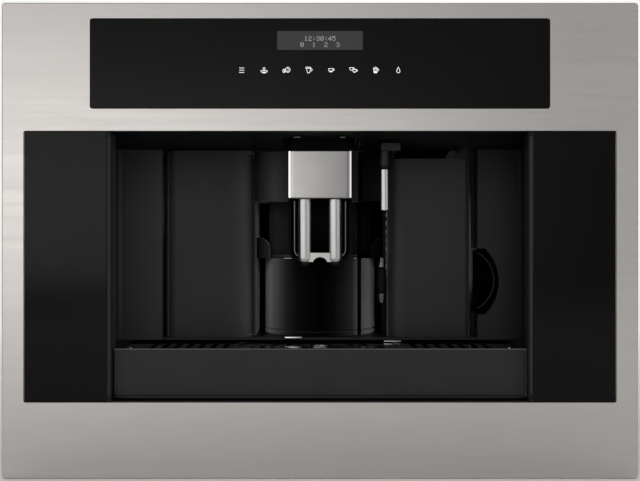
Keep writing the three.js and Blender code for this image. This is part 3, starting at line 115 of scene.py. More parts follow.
class NicheSettings(bpy.types.PropertyGroup):
    lamp_radius: size("Lamp radius", "Radius of a cup lamp in the ceiling", 4.2 * MM)
    lamp_spread: size("Lamp spread", "Lamp's distance from the middle", 22.0 * MM)
    lamp_depth: size("Lamp depth", "Lamps behind the steel front", 27.0 * MM)
    ceiling: size("Ceiling", "Thickness of the niche's ceiling", 2.5 * MM)
    slope_start: size("Slope start", "Front edge of the sloping ceiling behind the steel front", 3.0 * MM)
    slope_end: size("Slope end", "Back edge of the sloping ceiling behind the steel front", 104.0 * MM)
    grip_x: size("Grip place", "Middle of the finger recess's pocket right of the middle", 151.8 * MM)
    grip_z: size("Grip height", "Middle of the finger recess above the floor", 180.0 * MM)
    grip_radius: size("Grip radius", "Radius of the pocket's rim", 33.8 * MM)
    grip_depth: size("Grip depth", "Pocket's rim behind the steel front", 119.0 * MM)
    skin: size("Skin", "Thickness of the door's skin", 3.0 * MM)
    brow: size("Brow", "Foot of the door's brow above the floor", 264.3 * MM)
    column: size("Column", "Door's column behind the steel front", 135.0 * MM)
    apron: size("Apron", "Half the width of the apron behind the spout's shaft", 37.0 * MM)
    apron_depth: size("Apron depth", "Apron behind the steel front", 107.0 * MM)
    apron_drop: size("Apron drop", "Foot of the apron below the top of the ceiling", 8.0 * MM)
    apron_rise: size("Apron rise", "Top of the apron above the ceiling", 15.0 * MM)
    ear_x: size("Ear place", "Middle of an ear's round off the machine's middle", 67.0 * MM)
    ear_z: size("Ear height", "Middle of an ear's round above the floor", 213.0 * MM)
    # The ear's lighter edge is a painted highlight.
    ear_radius: size("Ear radius", "Radius of an ear's lighter edge", 12.6 * MM)
    ear_drop: size("Ear drop", "Straight part of an ear's edge below its round", 8.0 * MM)
    clip: size("Clip", "Radius of the clips at the ends of the edge mouldings", 2.2 * MM)
    clip_inset: size("Clip inset", "Clips inwards from the side glass", 1.9 * MM)
    clip_top: size("Clip top", "Upper clips below the top of the window", 2.6 * MM)
    clip_foot: size("Clip foot", "Lower clips above the foot of the window", 4.2 * MM)


class TraySettings(bpy.types.PropertyGroup):
    # The tray's lighter edge is a painted highlight.
    edge: size("Edge", "Width of the lighter edge of the tray's front", 1.0 * MM)
    skirt: size("Skirt", "Height of the skirt below the tray's front", 3.2 * MM)
    tab_left: size("Left tab", "Left edge of the grid's left lifting tab", -36.5 * MM)
    tab_right: size("Right tab", "Left edge of the grid's right lifting tab", 66.0 * MM)
    tab_width: size("Tab width", "Width of a lifting tab", 17.5 * MM)
    tab_rise: size("Tab rise", "Rise of the left lifting tab above the grid", 4.8 * MM)
    tab_low: size("Low tab rise", "Rise of the right tab, which the water tank slides over", 0.7 * MM)
    tab_thick: size("Tab thickness", "Thickness of the left lifting tab", 2.0 * MM)
    stud: size("Stud", "Radius of the studs at the grid's ends", 4.0 * MM)
    stud_back: size("Stud place", "Studs behind the grid's front edge", 26.0 * MM)
    stud_inset: size("Stud inset", "Studs inwards from the grid's ends", 6.0 * MM)


class SpoutSettings(bpy.types.PropertyGroup):
    nozzle_radius: size("Nozzle radius", "Outer radius of a coffee nozzle", 6.9 * MM)
    nozzle_depth: size("Nozzle depth", "Axes of the nozzles behind the steel front", 52.0 * MM)
    tip_length: size("Tip length", "Rubber tip below each nozzle", 4.6 * MM)
    tip_radius: size("Tip radius", "Outer radius of a rubber tip", 5.2 * MM)
    tip_bore: size("Tip bore", "Bore of a rubber tip where it meets the nozzle", 3.2 * MM)
    band: size("Band", "Height of the black band on the hot water spout", 2.0 * MM)
    bead_inset: size("Bead inset", "Polished beads inwards from the housing's sides", 2.9 * MM)
    bead_width: size("Bead width", "Width of the polished beads of the housing", 1.6 * MM)
    line_x: size("Line place", "Plated lines of the shroud off the middle", 25.6 * MM)
    line_bend: size("Line bend", "Bend at the foot of the shroud's lines", 7.0 * MM)
    line_foot: size("Line foot", "Foot of the shroud's lines above the floor", 206.5 * MM)
    spool_radius: size("Spool radius", "Radius of the steam valve's spool", 4.4 * MM)
    spool_x: size("Spool place", "Steam valve's distance right of the middle", 64.6 * MM)
    spool_depth: size("Spool depth", "Steam valve behind the steel front", 104.0 * MM)
    spool_z: size("Spool height", "Middle of the steam valve above the floor", 181.0 * MM)


class CasingSettings(bpy.types.PropertyGroup):
    screw_radius: size("Screw radius", "Head radius of the casing screws", 3.6 * MM)
    screw_height: size("Screw height", "Height of a screw head", 1.7 * MM)
    screw_inset: size("Screw inset", "Screws inwards from the covers' corners", 12.0 * MM)
    rivet_radius: size("Rivet radius", "Radius of the slide rivets", 2.6 * MM)
    rivet_inset: size("Rivet inset", "Outer rivets inwards from a slide's ends", 24.0 * MM)


class StudioSettings(bpy.types.PropertyGroup):
    distance: size("Distance", "Camera in front of the steel front", 0.83)
    height: size("Height", "Camera above the floor", 0.2227)
    lens: FloatProperty(name="Lens", description="Focal length in millimetres", default=50.0)
    floor: colour("Floor", "Pale floor and backdrop", 250, 250, 249)
    key: power("Key lamp", "Power of the large lamp in front", 19.0)
    fill: power("Fill lamp", "Power of the lamp at the right", 9.0)
    top: power("Top lamp", "Power of the lamp above", 1.5)
    backdrop: power("Backdrop lamp", "Power of the lamp on the backdrop", 14.0)


class MachineLooks(bpy.types.PropertyGroup):
    finish: PointerProperty(type=FinishSettings)
    control: PointerProperty(type=ControlSettings)
    niche: PointerProperty(type=NicheSettings)
    tray: PointerProperty(type=TraySettings)
    spout: PointerProperty(type=SpoutSettings)
    casing: PointerProperty(type=CasingSettings)
    studio: PointerProperty(type=StudioSettings)


def looks():
    """The settings that this scene carries."""
    return bpy.context.scene.machine_looks


# ---------------------------------------------------------------- materials
LOOK = "look_"  # keeps these materials apart from those that the frame brings


def new_node(nodes, kind, **constants):
    """A node with constants on its sockets, which are named here with _ for a space."""
    node = nodes.new(kind)
    for socket, value in constants.items():
        node.inputs[socket.replace("_", " ")].default_value = value
    return node


class Finish:
    """A node material in the making. Its patterns are laid in the object's own metres."""

    def __init__(self, name, base, roughness, metallic=0.0, specular=0.5):
        self.material = bpy.data.materials.new(LOOK + name)
        self.material.use_nodes = True
        self.material.diffuse_color = (*base, 1.0)
        tree = self.material.node_tree
        tree.nodes.clear()
        self.nodes = tree.nodes
        self.links = tree.links
        self.base = base
        self.shader = new_node(self.nodes, "ShaderNodeBsdfPrincipled", Base_Color=(*base, 1.0),
                               Roughness=roughness, Metallic=metallic, Specular_IOR_Level=specular)
        output = self.nodes.new("ShaderNodeOutputMaterial")
        self.links.new(self.shader.outputs["BSDF"], output.inputs["Surface"])
        self.place = self.nodes.new("ShaderNodeTexCoord").outputs["Object"]

    def set(self, socket, value):
        """Sets a constant on the shader."""
        self.shader.inputs[socket].default_value = value
        return self

    def lay(self, texture, scale):
        """Lays a texture at a scale along X, Y and Z."""
        mapping = new_node(self.nodes, "ShaderNodeMapping", Scale=scale)
        self.links.new(self.place, mapping.inputs["Vector"])
        self.links.new(mapping.outputs["Vector"], texture.inputs["Vector"])
        return texture.outputs

    def noise(self, grain, stretch=(1, 1, 1), detail=2.0):
        """Noise whose features are about one grain in size, longer where stretch is above 1."""
        texture = new_node(self.nodes, "ShaderNodeTexNoise", Scale=1.0, Detail=detail)
        return self.lay(texture, [1 / (grain * s) for s in stretch])["Fac"]

    def cells(self, grain, feature="F1"):
        """The outputs of a cell pattern with cells about one grain across."""
        texture = new_node(self.nodes, "ShaderNodeTexVoronoi", Scale=1.0)
        texture.feature = feature
        return self.lay(texture, [1 / grain] * 3)

    def axis(self, name):
        """One coordinate of the place."""
        split = self.nodes.new("ShaderNodeSeparateXYZ")
        self.links.new(self.place, split.inputs["Vector"])
        return split.outputs[name]

    def ramp(self, value, low, high, start=0.3, end=0.7):
        """Turns a value between start and end into one between low and high."""
        remap = new_node(self.nodes, "ShaderNodeMapRange", From_Min=start, From_Max=end,
                         To_Min=low, To_Max=high)
        self.links.new(value, remap.inputs["Value"])
        return remap.outputs["Result"]

    def mixed(self, first, second, share):
        """A node that mixes two colours by a share."""
        mix = self.nodes.new("ShaderNodeMix")
        mix.data_type = "RGBA"
        mix.inputs["A"].default_value = (*first, 1.0)
        mix.inputs["B"].default_value = (*second, 1.0)
        self.links.new(share, mix.inputs["Factor"])
        return mix

    def tint(self, value, spread, start=0.3, end=0.7):
        """Lightens and darkens the base colour by a share."""
        darker = [c * (1 - spread) for c in self.base]
        lighter = [min(c * (1 + spread), 1.0) for c in self.base]
        mix = self.mixed(darker, lighter, self.ramp(value, 0.0, 1.0, start, end))
        self.links.new(mix.outputs["Result"], self.shader.inputs["Base Color"])
        return self

    def dim(self, value):
        """Multiplies colour and mirror by a value between 0 and 1."""
        for name in ("Base Color", "Specular Tint"):
            socket = self.shader.inputs[name]
            mix = self.mixed((0.0, 0.0, 0.0), tuple(socket.default_value)[:3], value)
            if socket.is_linked:
                self.links.new(socket.links[0].from_socket, mix.inputs["B"])
            self.links.new(mix.outputs["Result"], socket)
        return self

    def shade(self, reach, depth):
        """Paints shade: dims colour and mirror in hollows, where parts stand nearer than a reach."""
        hollow = new_node(self.nodes, "ShaderNodeAmbientOcclusion", Distance=reach)
        hollow.samples = 8
        raised = self.nodes.new("ShaderNodeMath")
        raised.operation = "POWER"
        raised.inputs[1].default_value = depth
        self.links.new(hollow.outputs["AO"], raised.inputs[0])
        return self.dim(raised.outputs["Value"])

    def across(self, shares):
        """Dims colour and mirror by shares that are given at places along X, in millimetres."""
        first, last = shares[0][0], shares[-1][0]
        node = self.nodes.new("ShaderNodeValToRGB")
        stops = node.color_ramp.elements
        stops.remove(stops[1])  # a new ramp has two
        for place, share in shares:
            at = (place - first) / (last - first)
            stop = stops.new(at) if at else stops[0]
            stop.position = at
            stop.color = (share, share, share, 1.0)
        self.links.new(self.ramp(self.axis("X"), 0.0, 1.0, first * MM, last * MM), node.inputs["Fac"])
        return self.dim(node.outputs["Color"])

    def fade_back(self, start, end, share):
        """Dims colour and mirror to a share between two places behind one another."""
        return self.dim(self.ramp(self.axis("Y"), 1.0, share, start, end))

    def polish(self, value, low, high):
        """Varies the roughness between two values."""
        self.links.new(self.ramp(value, low, high), self.shader.inputs["Roughness"])
        return self

    def relief(self, value, depth):
        """Raises the surface by a depth in metres."""
        bump = new_node(self.nodes, "ShaderNodeBump", Distance=depth, Strength=1.0)
        self.links.new(value, bump.inputs["Height"])
        self.links.new(bump.outputs["Normal"], self.shader.inputs["Normal"])
        return self


def brushed_steel():
    """Stainless sheet brushed along its width."""
    f = Finish("brushed_steel", looks().finish.steel, 0.31, metallic=1.0)
    streak = f.noise(0.5 * MM, stretch=(90, 1, 1), detail=3)
    f.tint(streak, 0.06)
    f.polish(f.noise(6 * MM, stretch=(30, 1, 1)), 0.28, 0.34)
    return f.relief(streak, 0.006 * MM).material


def black_glass():
    """Black glass of the control panel and the side panels, faintly uneven."""
    f = Finish("black_glass", looks().finish.glass, 0.12, specular=0.12)
    f.tint(f.noise(60 * MM), 0.12)
    f.polish(f.noise(25 * MM, detail=4), 0.10, 0.14)
    return f.relief(f.noise(40 * MM, detail=0), 0.03 * MM).material


# Shares of the full tone at places across the machine, in millimetres right of the middle: painted highlights
# and painted shade for how the light falls.
DRUM_HIGHLIGHT_SHARES = (
    (-61, 1.0), (-56, 0.75), (-50, 0.30), (-43, 0.13), (-37, 0.05), (-30, 0.022), (-24, 0.008), (0, 0.001),
    (14, 0.006), (21, 0.018), (27, 0.030), (34, 0.060), (47, 0.42), (53, 0.85), (61, 1.0))
DOOR_LIGHT_AND_SHADE_SHARES = (
    (-160, 0.56), (-98, 0.56), (-86, 0.64), (-77, 1.0), (-73, 1.0), (-70, 0.10), (-66, 0.18), (-58, 0.50),
    (-48, 0.92), (-30, 0.70), (40, 0.55))
WALL_SHADE_SHARES = (
    (-211, 0.50), (-207, 0.75), (-203, 0.97), (-198, 0.92), (-190, 0.83), (-182, 0.78), (-164, 0.72),
    (0, 0.60), (170, 0.50), (187, 0.47), (204, 0.40), (207, 0.22), (211, 0.18))

# Painted shade: the niche's plastics darken from one depth behind the steel front to another, down to a
# share, where less light reaches.
NICHE_SHADE_FADES = ((112 * MM, 134 * MM, 0.4), (141 * MM, 168 * MM, 0.0))


def moulded(name, sheen, tone, shares=(), hollow=0.5):
    """Fine-grained black plastic, with painted shade in hollows and far back in the niche."""
    f = Finish(name, tone, 0.42, specular=0.2)
    f.set("Sheen Weight", sheen).set("Sheen Roughness", 0.4)
    f.tint(f.noise(30 * MM), 0.05)
    for start, end, share in NICHE_SHADE_FADES:
        f.fade_back(place_y(start), place_y(end), share)
    f.shade(22 * MM, hollow)
    if shares:
        f.across(shares)
    f.polish(f.noise(12 * MM), 0.39, 0.46)
    return f.relief(f.noise(0.35 * MM, detail=1), 0.01 * MM).material


def satin_black():
    """Moulded plastic with a fine spark-eroded grain."""
    return moulded("satin_black", 0.0, looks().finish.satin)


def soft_black():
    """The same plastic with a soft lacquer that lightens at its rounded edges."""
    return moulded("soft_black", 0.2, looks().finish.satin)


def wall_black():
    """The same plastic on the niche's curved walls, with painted shade that darkens their corners and the
    right wall.
    """
    return moulded("wall_black", 0.0, looks().finish.wall, WALL_SHADE_SHARES, 0.15)


def door_black():
    """Lacquered plastic of the door, with a painted highlight along its right bend and painted shade inside
    the recess and towards the middle.
    """
    return moulded("door_black", 0.2, looks().finish.door, DOOR_LIGHT_AND_SHADE_SHARES)


def ceiling_shade_black():
    """Smooth underside of the niche's ceiling, darkened with painted shade where little light reaches it."""
    f = Finish("ceiling_shade_black", linear(21, 21, 21), 0.4, specular=0.12)
    f.tint(f.noise(30 * MM), 0.06)
    f.shade(30 * MM, 1.0)
    f.polish(f.noise(14 * MM), 0.36, 0.44)
    return f.relief(f.noise(0.5 * MM, detail=1), 0.005 * MM).material


def gloss_black():
    """Polished black of the small rings, clips and tips, with strong painted shade in hollows."""
    f = Finish("gloss_black", looks().finish.gloss, 0.10, specular=0.15)
    f.tint(f.noise(40 * MM), 0.10)
    f.shade(60 * MM, 3.0)
    f.polish(f.noise(20 * MM, detail=3), 0.08, 0.13)
    return f.relief(f.noise(14 * MM), 0.006 * MM).material


def drum_black():
    """Black of the drum, with painted highlights that lighten it towards its rims."""
    f = Finish("drum_black", linear(170, 170, 170), 0.3, specular=0.0)
    f.set("Sheen Weight", 0.12).set("Sheen Roughness", 0.45)
    f.tint(f.noise(30 * MM), 0.06)
    f.across(DRUM_HIGHLIGHT_SHARES)
    f.polish(f.noise(20 * MM, detail=3), 0.27, 0.33)
    return f.relief(f.noise(14 * MM), 0.006 * MM).material


def shade_black():
    """Black with painted shade, for the insides of hollows and parts that lie in shadow."""
    f = Finish("shade_black", linear(10, 10, 10), 0.6, specular=0.1)
    f.tint(f.noise(30 * MM), 0.1)
    f.shade(40 * MM, 2.0)
    f.polish(f.noise(20 * MM, detail=3), 0.55, 0.65)
    return f.relief(f.noise(0.5 * MM), 0.01 * MM).material


def dark_plastic():
    """Plain dark plastic of the works inside."""
    f = Finish("dark_plastic", looks().finish.dark, 0.5, specular=0.4)
    f.tint(f.noise(20 * MM), 0.08)
    f.polish(f.noise(9 * MM), 0.45, 0.58)
    return f.relief(f.noise(0.5 * MM, detail=1), 0.015 * MM).material


def soft_rubber():
    """Matt black rubber to the touch."""
    f = Finish("soft_rubber", linear(22, 22, 22), 0.62, specular=0.35)
    f.tint(f.noise(6 * MM), 0.1)
    f.polish(f.noise(3 * MM), 0.55, 0.7)
    return f.relief(f.noise(0.4 * MM, detail=1), 0.02 * MM).material


def highlight_edge():
    """Painted highlight along the edge of a moulding, lighter and smoother than the moulding."""
    f = Finish("highlight_edge", linear(68, 68, 68), 0.35, specular=0.3)
    f.tint(f.noise(10 * MM), 0.08)
    f.polish(f.noise(5 * MM), 0.3, 0.4)
    return f.relief(f.noise(0.4 * MM, detail=1), 0.01 * MM).material


def pearl(name, *screen):
    """Pearly plating with a soft shine."""
    f = Finish(name, linear(*screen), 0.25, metallic=1.0)
    f.tint(f.noise(25 * MM), 0.02)
    f.polish(f.noise(20 * MM), 0.24, 0.27)
    return f.relief(f.noise(30 * MM, detail=1), 0.002 * MM)


def satin_chrome():
    """Pearl-plated tubes of both spouts."""
    return pearl("satin_chrome", 174, 173, 172).material


def pearl_plate():
    """Pearl-plated cover of the coffee spout, with painted shade that darkens it towards its right side."""
    f = pearl("pearl_plate", 172, 171, 170)
    return f.dim(f.ramp(f.axis("X"), 0.94, 0.54, -30 * MM, 32 * MM)).material


def chrome_plate():
    """Bright plating of the grid's tabs and studs and the housing's beads."""
    f = Finish("chrome_plate", looks().finish.chrome, 0.09, metallic=1.0)
    f.tint(f.noise(12 * MM), 0.02)
    f.polish(f.noise(5 * MM), 0.07, 0.12)
    return f.relief(f.noise(9 * MM), 0.004 * MM).material


def smoked_chrome():
    """Dark plated bead."""
    f = Finish("smoked_chrome", linear(84, 84, 86), 0.16, metallic=1.0)
    f.tint(f.noise(6 * MM), 0.04)
    f.polish(f.noise(4 * MM), 0.13, 0.19)
    return f.relief(f.noise(8 * MM), 0.003 * MM).material


def zinc_sheet():
    """Galvanised sheet with its spangle."""
    f = Finish("zinc_sheet", looks().finish.zinc, 0.4, metallic=0.85)
    spangle = f.cells(9 * MM)
    f.tint(spangle["Color"], 0.10, 0.0, 1.0)
    f.polish(spangle["Distance"], 0.34, 0.48)
    return f.relief(f.noise(4 * MM, detail=3), 0.02 * MM).material


def slide_steel():
    """Rolled slide steel, lightly oiled."""
    f = Finish("slide_steel", linear(190, 192, 194), 0.28, metallic=1.0)
    streak = f.noise(0.6 * MM, stretch=(1, 120, 1), detail=2)
    f.tint(streak, 0.07)
    f.polish(f.noise(15 * MM), 0.22, 0.34)
    return f.relief(streak, 0.008 * MM).material


def screw_steel():
    """Bright steel of screws and rivets."""
    f = Finish("screw_steel", linear(168, 168, 166), 0.3, metallic=1.0)
    f.tint(f.noise(1.2 * MM), 0.08)
    f.polish(f.noise(0.8 * MM), 0.24, 0.38)
    return f.relief(f.noise(0.5 * MM), 0.01 * MM).material


def grid_steel():
    """Pressed grid with a dark plated skin."""
    f = Finish("grid_steel", looks().finish.grid, 0.1, metallic=1.0)
    f.tint(f.noise(5 * MM, detail=4), 0.12)
    f.polish(f.noise(7 * MM, stretch=(3, 1, 1)), 0.07, 0.14)
    return f.relief(f.noise(2 * MM), 0.012 * MM).material


def clear_plastic():
    """Smoky clear plastic of the tank and the bean hopper."""
    f = Finish("clear_plastic", linear(150, 154, 158), 0.12, specular=0.5)
    f.set("Transmission Weight", 0.85).set("IOR", 1.49)
    f.tint(f.noise(25 * MM), 0.03)
    f.polish(f.noise(8 * MM), 0.1, 0.17)
    return f.relief(f.noise(10 * MM), 0.01 * MM).material


def circuit_board():
    """Green board with its copper traces under the lacquer."""
    f = Finish("circuit_board", linear(24, 92, 54), 0.4)
    traces = f.cells(5 * MM, "DISTANCE_TO_EDGE")["Distance"]
    f.tint(traces, 0.35, 0.05, 0.12)
    f.polish(f.noise(4 * MM), 0.32, 0.48)
    return f.relief(traces, 0.02 * MM).material


def cast_heater():
    """Cast aluminium of the heater."""
    f = Finish("cast_heater", linear(160, 160, 158), 0.5, metallic=0.9)
    f.tint(f.noise(8 * MM, detail=5), 0.14)
    f.polish(f.noise(3 * MM), 0.42, 0.62)
    return f.relief(f.noise(0.9 * MM, detail=4), 0.08 * MM).material


def white_plastic():
    """Off-white plastic of the brew unit."""
    f = Finish("white_plastic", linear(206, 204, 196), 0.45)
    f.tint(f.noise(18 * MM), 0.04)
    f.polish(f.noise(6 * MM), 0.4, 0.52)
    return f.relief(f.noise(0.6 * MM), 0.015 * MM).material


def display_pane():
    """Resting liquid crystal behind the glass."""
    f = Finish("display_pane", looks().control.pane, 0.35, specular=0.3)
    f.tint(f.noise(9 * MM), 0.05)
    f.polish(f.noise(5 * MM), 0.3, 0.4)
    return f.relief(f.noise(0.3 * MM), 0.004 * MM).material


def backlit(name, tone, strength):
    """Backlit print, which glows a little and keeps its colour in daylight."""
    f = Finish(name, tone, 0.4, specular=0.2)
    f.tint(f.noise(1.2 * MM), 0.06)
    f.polish(f.noise(2 * MM), 0.35, 0.45)
    return f.set("Emission Color", (*tone, 1.0)).set("Emission Strength", strength).material


def lit_symbols():
    """Print of the touch symbols."""
    return backlit("lit_symbols", looks().control.lit, 0.55)


def lit_figures():
    """Print of the display's figures."""
    return backlit("lit_figures", looks().control.figures, 0.2)


def lamp_lens():
    """Ribbed lens of a cup lamp."""
    f = Finish("lamp_lens", linear(120, 120, 118), 0.16, specular=0.6)
    f.tint(f.noise(2 * MM), 0.08)
    f.polish(f.noise(1.5 * MM), 0.12, 0.2)
    return f.relief(f.cells(1.1 * MM)["Distance"], 0.05 * MM).material


FINISHES = {make.__name__: make for make in (
    brushed_steel, black_glass, satin_black, soft_black, wall_black, door_black, ceiling_shade_black, gloss_black,
    drum_black, shade_black, dark_plastic, soft_rubber, highlight_edge, satin_chrome, pearl_plate, chrome_plate,
    smoked_chrome, zinc_sheet, slide_steel, screw_steel, grid_steel, clear_plastic, circuit_board,
    cast_heater, white_plastic, display_pane, lit_symbols, lit_figures, lamp_lens)}

NODE_FINISH = {
    "brushed_steel": ["facade"],
    "black_glass": ["control_glass", "side_glass_left", "side_glass_right"],
    "satin_black": ["bay_wall_left", "bay_wall_right", "bay_shelf", "tray_front", "hot_spout_cap"],
    "soft_black": ["tank_front"],
    "door_black": ["door_panel"],
    "wall_black": ["niche_wall_left", "niche_wall_right"],
    "drum_black": ["drum_cover", "drum_base", "drum_strip"],
    "ceiling_shade_black": ["niche_ceiling"],
    "shade_black": ["finger_cup", "niche_floor", "fixed_strip", "spout_guide", "spout_shroud"],
    "pearl_plate": ["spout_housing"],
    "satin_chrome": ["spout_nozzles", "hot_spout_tube"],
    "grid_steel": ["drip_grid"],
    "zinc_sheet": ["chassis_base", "top_cover", "rear_cover", "side_cover_left", "side_cover_right",
                   "partition_left", "partition_right", "water_pump"],
    "slide_steel": ["hinge_rod"] + [f"slide_{part}_{side}" for part in ("fixed", "middle", "inner")
                                    for side, _ in SIDES],
    "clear_plastic": ["tank_body", "bean_hopper"],
    "soft_rubber": ["grinder_knob", "mains_rocker"],
    "dark_plastic": ["front_carrier", "hot_connector", "mid_deck", "ground_chute", "grounds_bin", "grinder",
                     "hopper_lid", "chute_lid", "inlet_module", "tank_lid", "tray_basin"],
    "circuit_board": ["display_board", "control_board"],
    "cast_heater": ["water_heater"],
    "white_plastic": ["brew_unit"],
}

# Parts whose edges are rounded, as a share of the edge setting.
ROUNDED = {
    "spout_housing": 0.8, "tray_front": 1.0, "tank_front": 1.0, "hot_spout_cap": 1.0, "hot_connector": 0.8,
    "door_panel": 0.8, "spout_guide": 0.8, "fixed_strip": 0.8, "hopper_lid": 1.6, "chute_lid": 1.6,
    "mains_rocker": 0.8, "control_glass": 0.4, "side_glass_left": 0.4, "side_glass_right": 0.4,
    "spout_shroud": 0.8, "tank_lid": 1.0,
}


def finish_named(name):
    """The material of that name, made when it is first asked for."""
    return bpy.data.materials.get(LOOK + name) or FINISHES[name]()


# ---------------------------------------------------------------- mesh tools
CREASE = math.radians(32)  # sharper edges than this stay sharp


def smooth_group():
    """Geometry nodes that shade smooth except across creases."""
    name = "smooth_shallow_edges"
    if name in bpy.data.node_groups:
        return bpy.data.node_groups[name]
    group = bpy.data.node_groups.new(name, "GeometryNodeTree")
    for in_out in ("INPUT", "OUTPUT"):
        group.interface.new_socket("Geometry", in_out=in_out, socket_type="NodeSocketGeometry")
    nodes, links = group.nodes, group.links
    start = nodes.new("NodeGroupInput")
    end = nodes.new("NodeGroupOutput")
    plain = new_node(nodes, "GeometryNodeRemoveAttribute", Name="custom_normal")
    angle = nodes.new("GeometryNodeInputMeshEdgeAngle")
    shallow = nodes.new("FunctionNodeCompare")
    shallow.data_type = "FLOAT"
    shallow.operation = "LESS_EQUAL"
    shallow.inputs["B"].default_value = CREASE
    edges = nodes.new("GeometryNodeSetShadeSmooth")
    edges.domain = "EDGE"
    faces = new_node(nodes, "GeometryNodeSetShadeSmooth", Shade_Smooth=True)
    faces.domain = "FACE"
    links.new(start.outputs[0], plain.inputs["Geometry"])
    links.new(plain.outputs["Geometry"], faces.inputs["Geometry"])
    links.new(angle.outputs["Unsigned Angle"], shallow.inputs["A"])
    links.new(shallow.outputs["Result"], edges.inputs["Shade Smooth"])
    links.new(faces.outputs["Geometry"], edges.inputs["Geometry"])
    links.new(edges.outputs["Geometry"], end.inputs[0])
    return group


def soften(obj, width):
    """Shades an object's curves smooth, and rounds its sharp edges where the width isn't 0."""
    weld = obj.modifiers.new("weld", "WELD")
    weld.merge_threshold = 0.005 * MM
    if width:
        flat = obj.modifiers.new("join_flats", "DECIMATE")
        flat.decimate_type = "DISSOLVE"
        flat.angle_limit = math.radians(0.4)
        bevel = obj.modifiers.new("round_edges", "BEVEL")
        bevel.width = width
        bevel.segments = 2
        bevel.limit_method = "ANGLE"
        bevel.angle_limit = math.radians(35)
        bevel.miter_outer = "MITER_ARC"
    smooth = obj.modifiers.new("smooth_curves", "NODES")
    smooth.node_group = smooth_group()
    even = obj.modifiers.new("keep_flats_flat", "WEIGHTED_NORMAL")
    even.keep_sharp = True


def piece(name, mesh, finish, body, smooth=True):
    """Turns a bmesh into a named piece with a finish that rides on a body."""
    bmesh.ops.recalc_face_normals(mesh, faces=mesh.faces)
    data = bpy.data.meshes.new(name)
    mesh.to_mesh(data)
    mesh.free()
    if smooth:
        data.shade_smooth()
        data.set_sharp_from_angle(angle=CREASE)
    data.materials.append(finish_named(finish))
    obj = bpy.data.objects.new(name, data)
    bpy.context.scene.collection.objects.link(obj)
    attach(obj, body)


def lathe(mesh, profile, centre, axis="Z", steps=32):
    """Turns a profile of (radius, height) pairs about an axis through a centre."""
    along = {"X": Vector((1, 0, 0)), "Y": Vector((0, 1, 0)), "Z": Vector((0, 0, 1))}[axis]
    side = Vector((0, 0, 1)) if axis != "Z" else Vector((1, 0, 0))
    across = along.cross(side)
    rings = []
    for radius, height in profile:
        middle = Vector(centre) + along * height
        if radius < 1e-7:
            rings.append([mesh.verts.new(middle)])
            continue
        rings.append([mesh.verts.new(middle + radius * (side * math.cos(a) + across * math.sin(a)))
                      for a in (i * math.tau / steps for i in range(steps))])
    for low, high in zip(rings, rings[1:]):
        for i in range(steps):
            j = (i + 1) % steps
            corners = [low[i % len(low)], low[j % len(low)], high[j % len(high)], high[i % len(high)]]
            corners = list(dict.fromkeys(corners))
            if len(corners) > 2:
                mesh.faces.new(corners)


def slab(mesh, low, high, bevel):
    """A block between two corners with bevelled edges."""
    made = bmesh.ops.create_cube(mesh, size=1.0)["verts"]
    low, high = Vector(low), Vector(high)
    bmesh.ops.scale(mesh, vec=high - low, verts=made)
    bmesh.ops.translate(mesh, vec=(low + high) / 2, verts=made)
    edges = list({edge for vert in made for edge in vert.link_edges})
    bmesh.ops.bevel(mesh, geom=edges, offset=bevel, segments=2, affect="EDGES", profile=0.5)


def rounded_outline(x0, x1, z0, z1, radius, steps=3):
    """Corners of a rounded rectangle, as (x, z) pairs."""
    corners = ((x1 - radius, z1 - radius, 0), (x0 + radius, z1 - radius, 1),
               (x0 + radius, z0 + radius, 2), (x1 - radius, z0 + radius, 3))
    return [(cx + radius * math.cos(a), cz + radius * math.sin(a)) for cx, cz, quarter in corners
            for a in ((quarter + i / steps) * math.pi / 2 for i in range(steps + 1))]


def prism(mesh, first, last):
    """A closed form between two like outlines."""
    first = [mesh.verts.new(point) for point in first]
    last = [mesh.verts.new(point) for point in last]
    mesh.faces.new(first)
    mesh.faces.new(list(reversed(last)))
    for i in range(len(first)):
        j = (i + 1) % len(first)
        mesh.faces.new((first[i], first[j], last[j], last[i]))


def plate(mesh, points, y, thick):
    """A thin plate on (x, z) points whose face lies at y and whose back is a thickness behind."""
    prism(mesh, [(x, y, z) for x, z in points], [(x, y + thick, z) for x, z in points])


def upright(mesh, plan, z0, z1):
    """A post that stands on a plan of (x, y) points."""
    prism(mesh, [(x, y, z0) for x, y in plan], [(x, y, z1) for x, y in plan])


def stroke(mesh, points, width, y, thick, closed=False):
    """A line of a given width drawn through (x, z) points, as a raised print."""
    path = [Vector(p) for p in points]
    count = len(path)
    left, right = [], []
    for i, here in enumerate(path):
        before = path[(i - 1) % count] if closed or i else here
        after = path[(i + 1) % count] if closed or i < count - 1 else here
        run_in = (here - before).normalized() if (here - before).length else (after - here).normalized()
        run_out = (after - here).normalized() if (after - here).length else run_in
        normal = Vector((-(run_in + run_out).y, (run_in + run_out).x)).normalized()
        reach = width / 2 / max(normal.dot(Vector((-run_in.y, run_in.x))), 0.5)
        left.append(here + normal * reach)
        right.append(here - normal * reach)
    levels = [[mesh.verts.new((p.x, depth, p.y)) for p in side]
              for depth in (y, y + thick) for side in (left, right)]
    front_left, front_right, back_left, back_right = levels
    spans = range(count) if closed else range(count - 1)
    for i in spans:
        j = (i + 1) % count
        mesh.faces.new((front_left[i], front_left[j], front_right[j], front_right[i]))
        mesh.faces.new((back_left[i], back_right[i], back_right[j], back_left[j]))
        mesh.faces.new((front_left[i], back_left[i], back_left[j], front_left[j]))
        mesh.faces.new((front_right[i], front_right[j], back_right[j], back_right[i]))
    if not closed:
        for i in (0, count - 1):
            mesh.faces.new((front_left[i], front_right[i], back_right[i], back_left[i]))


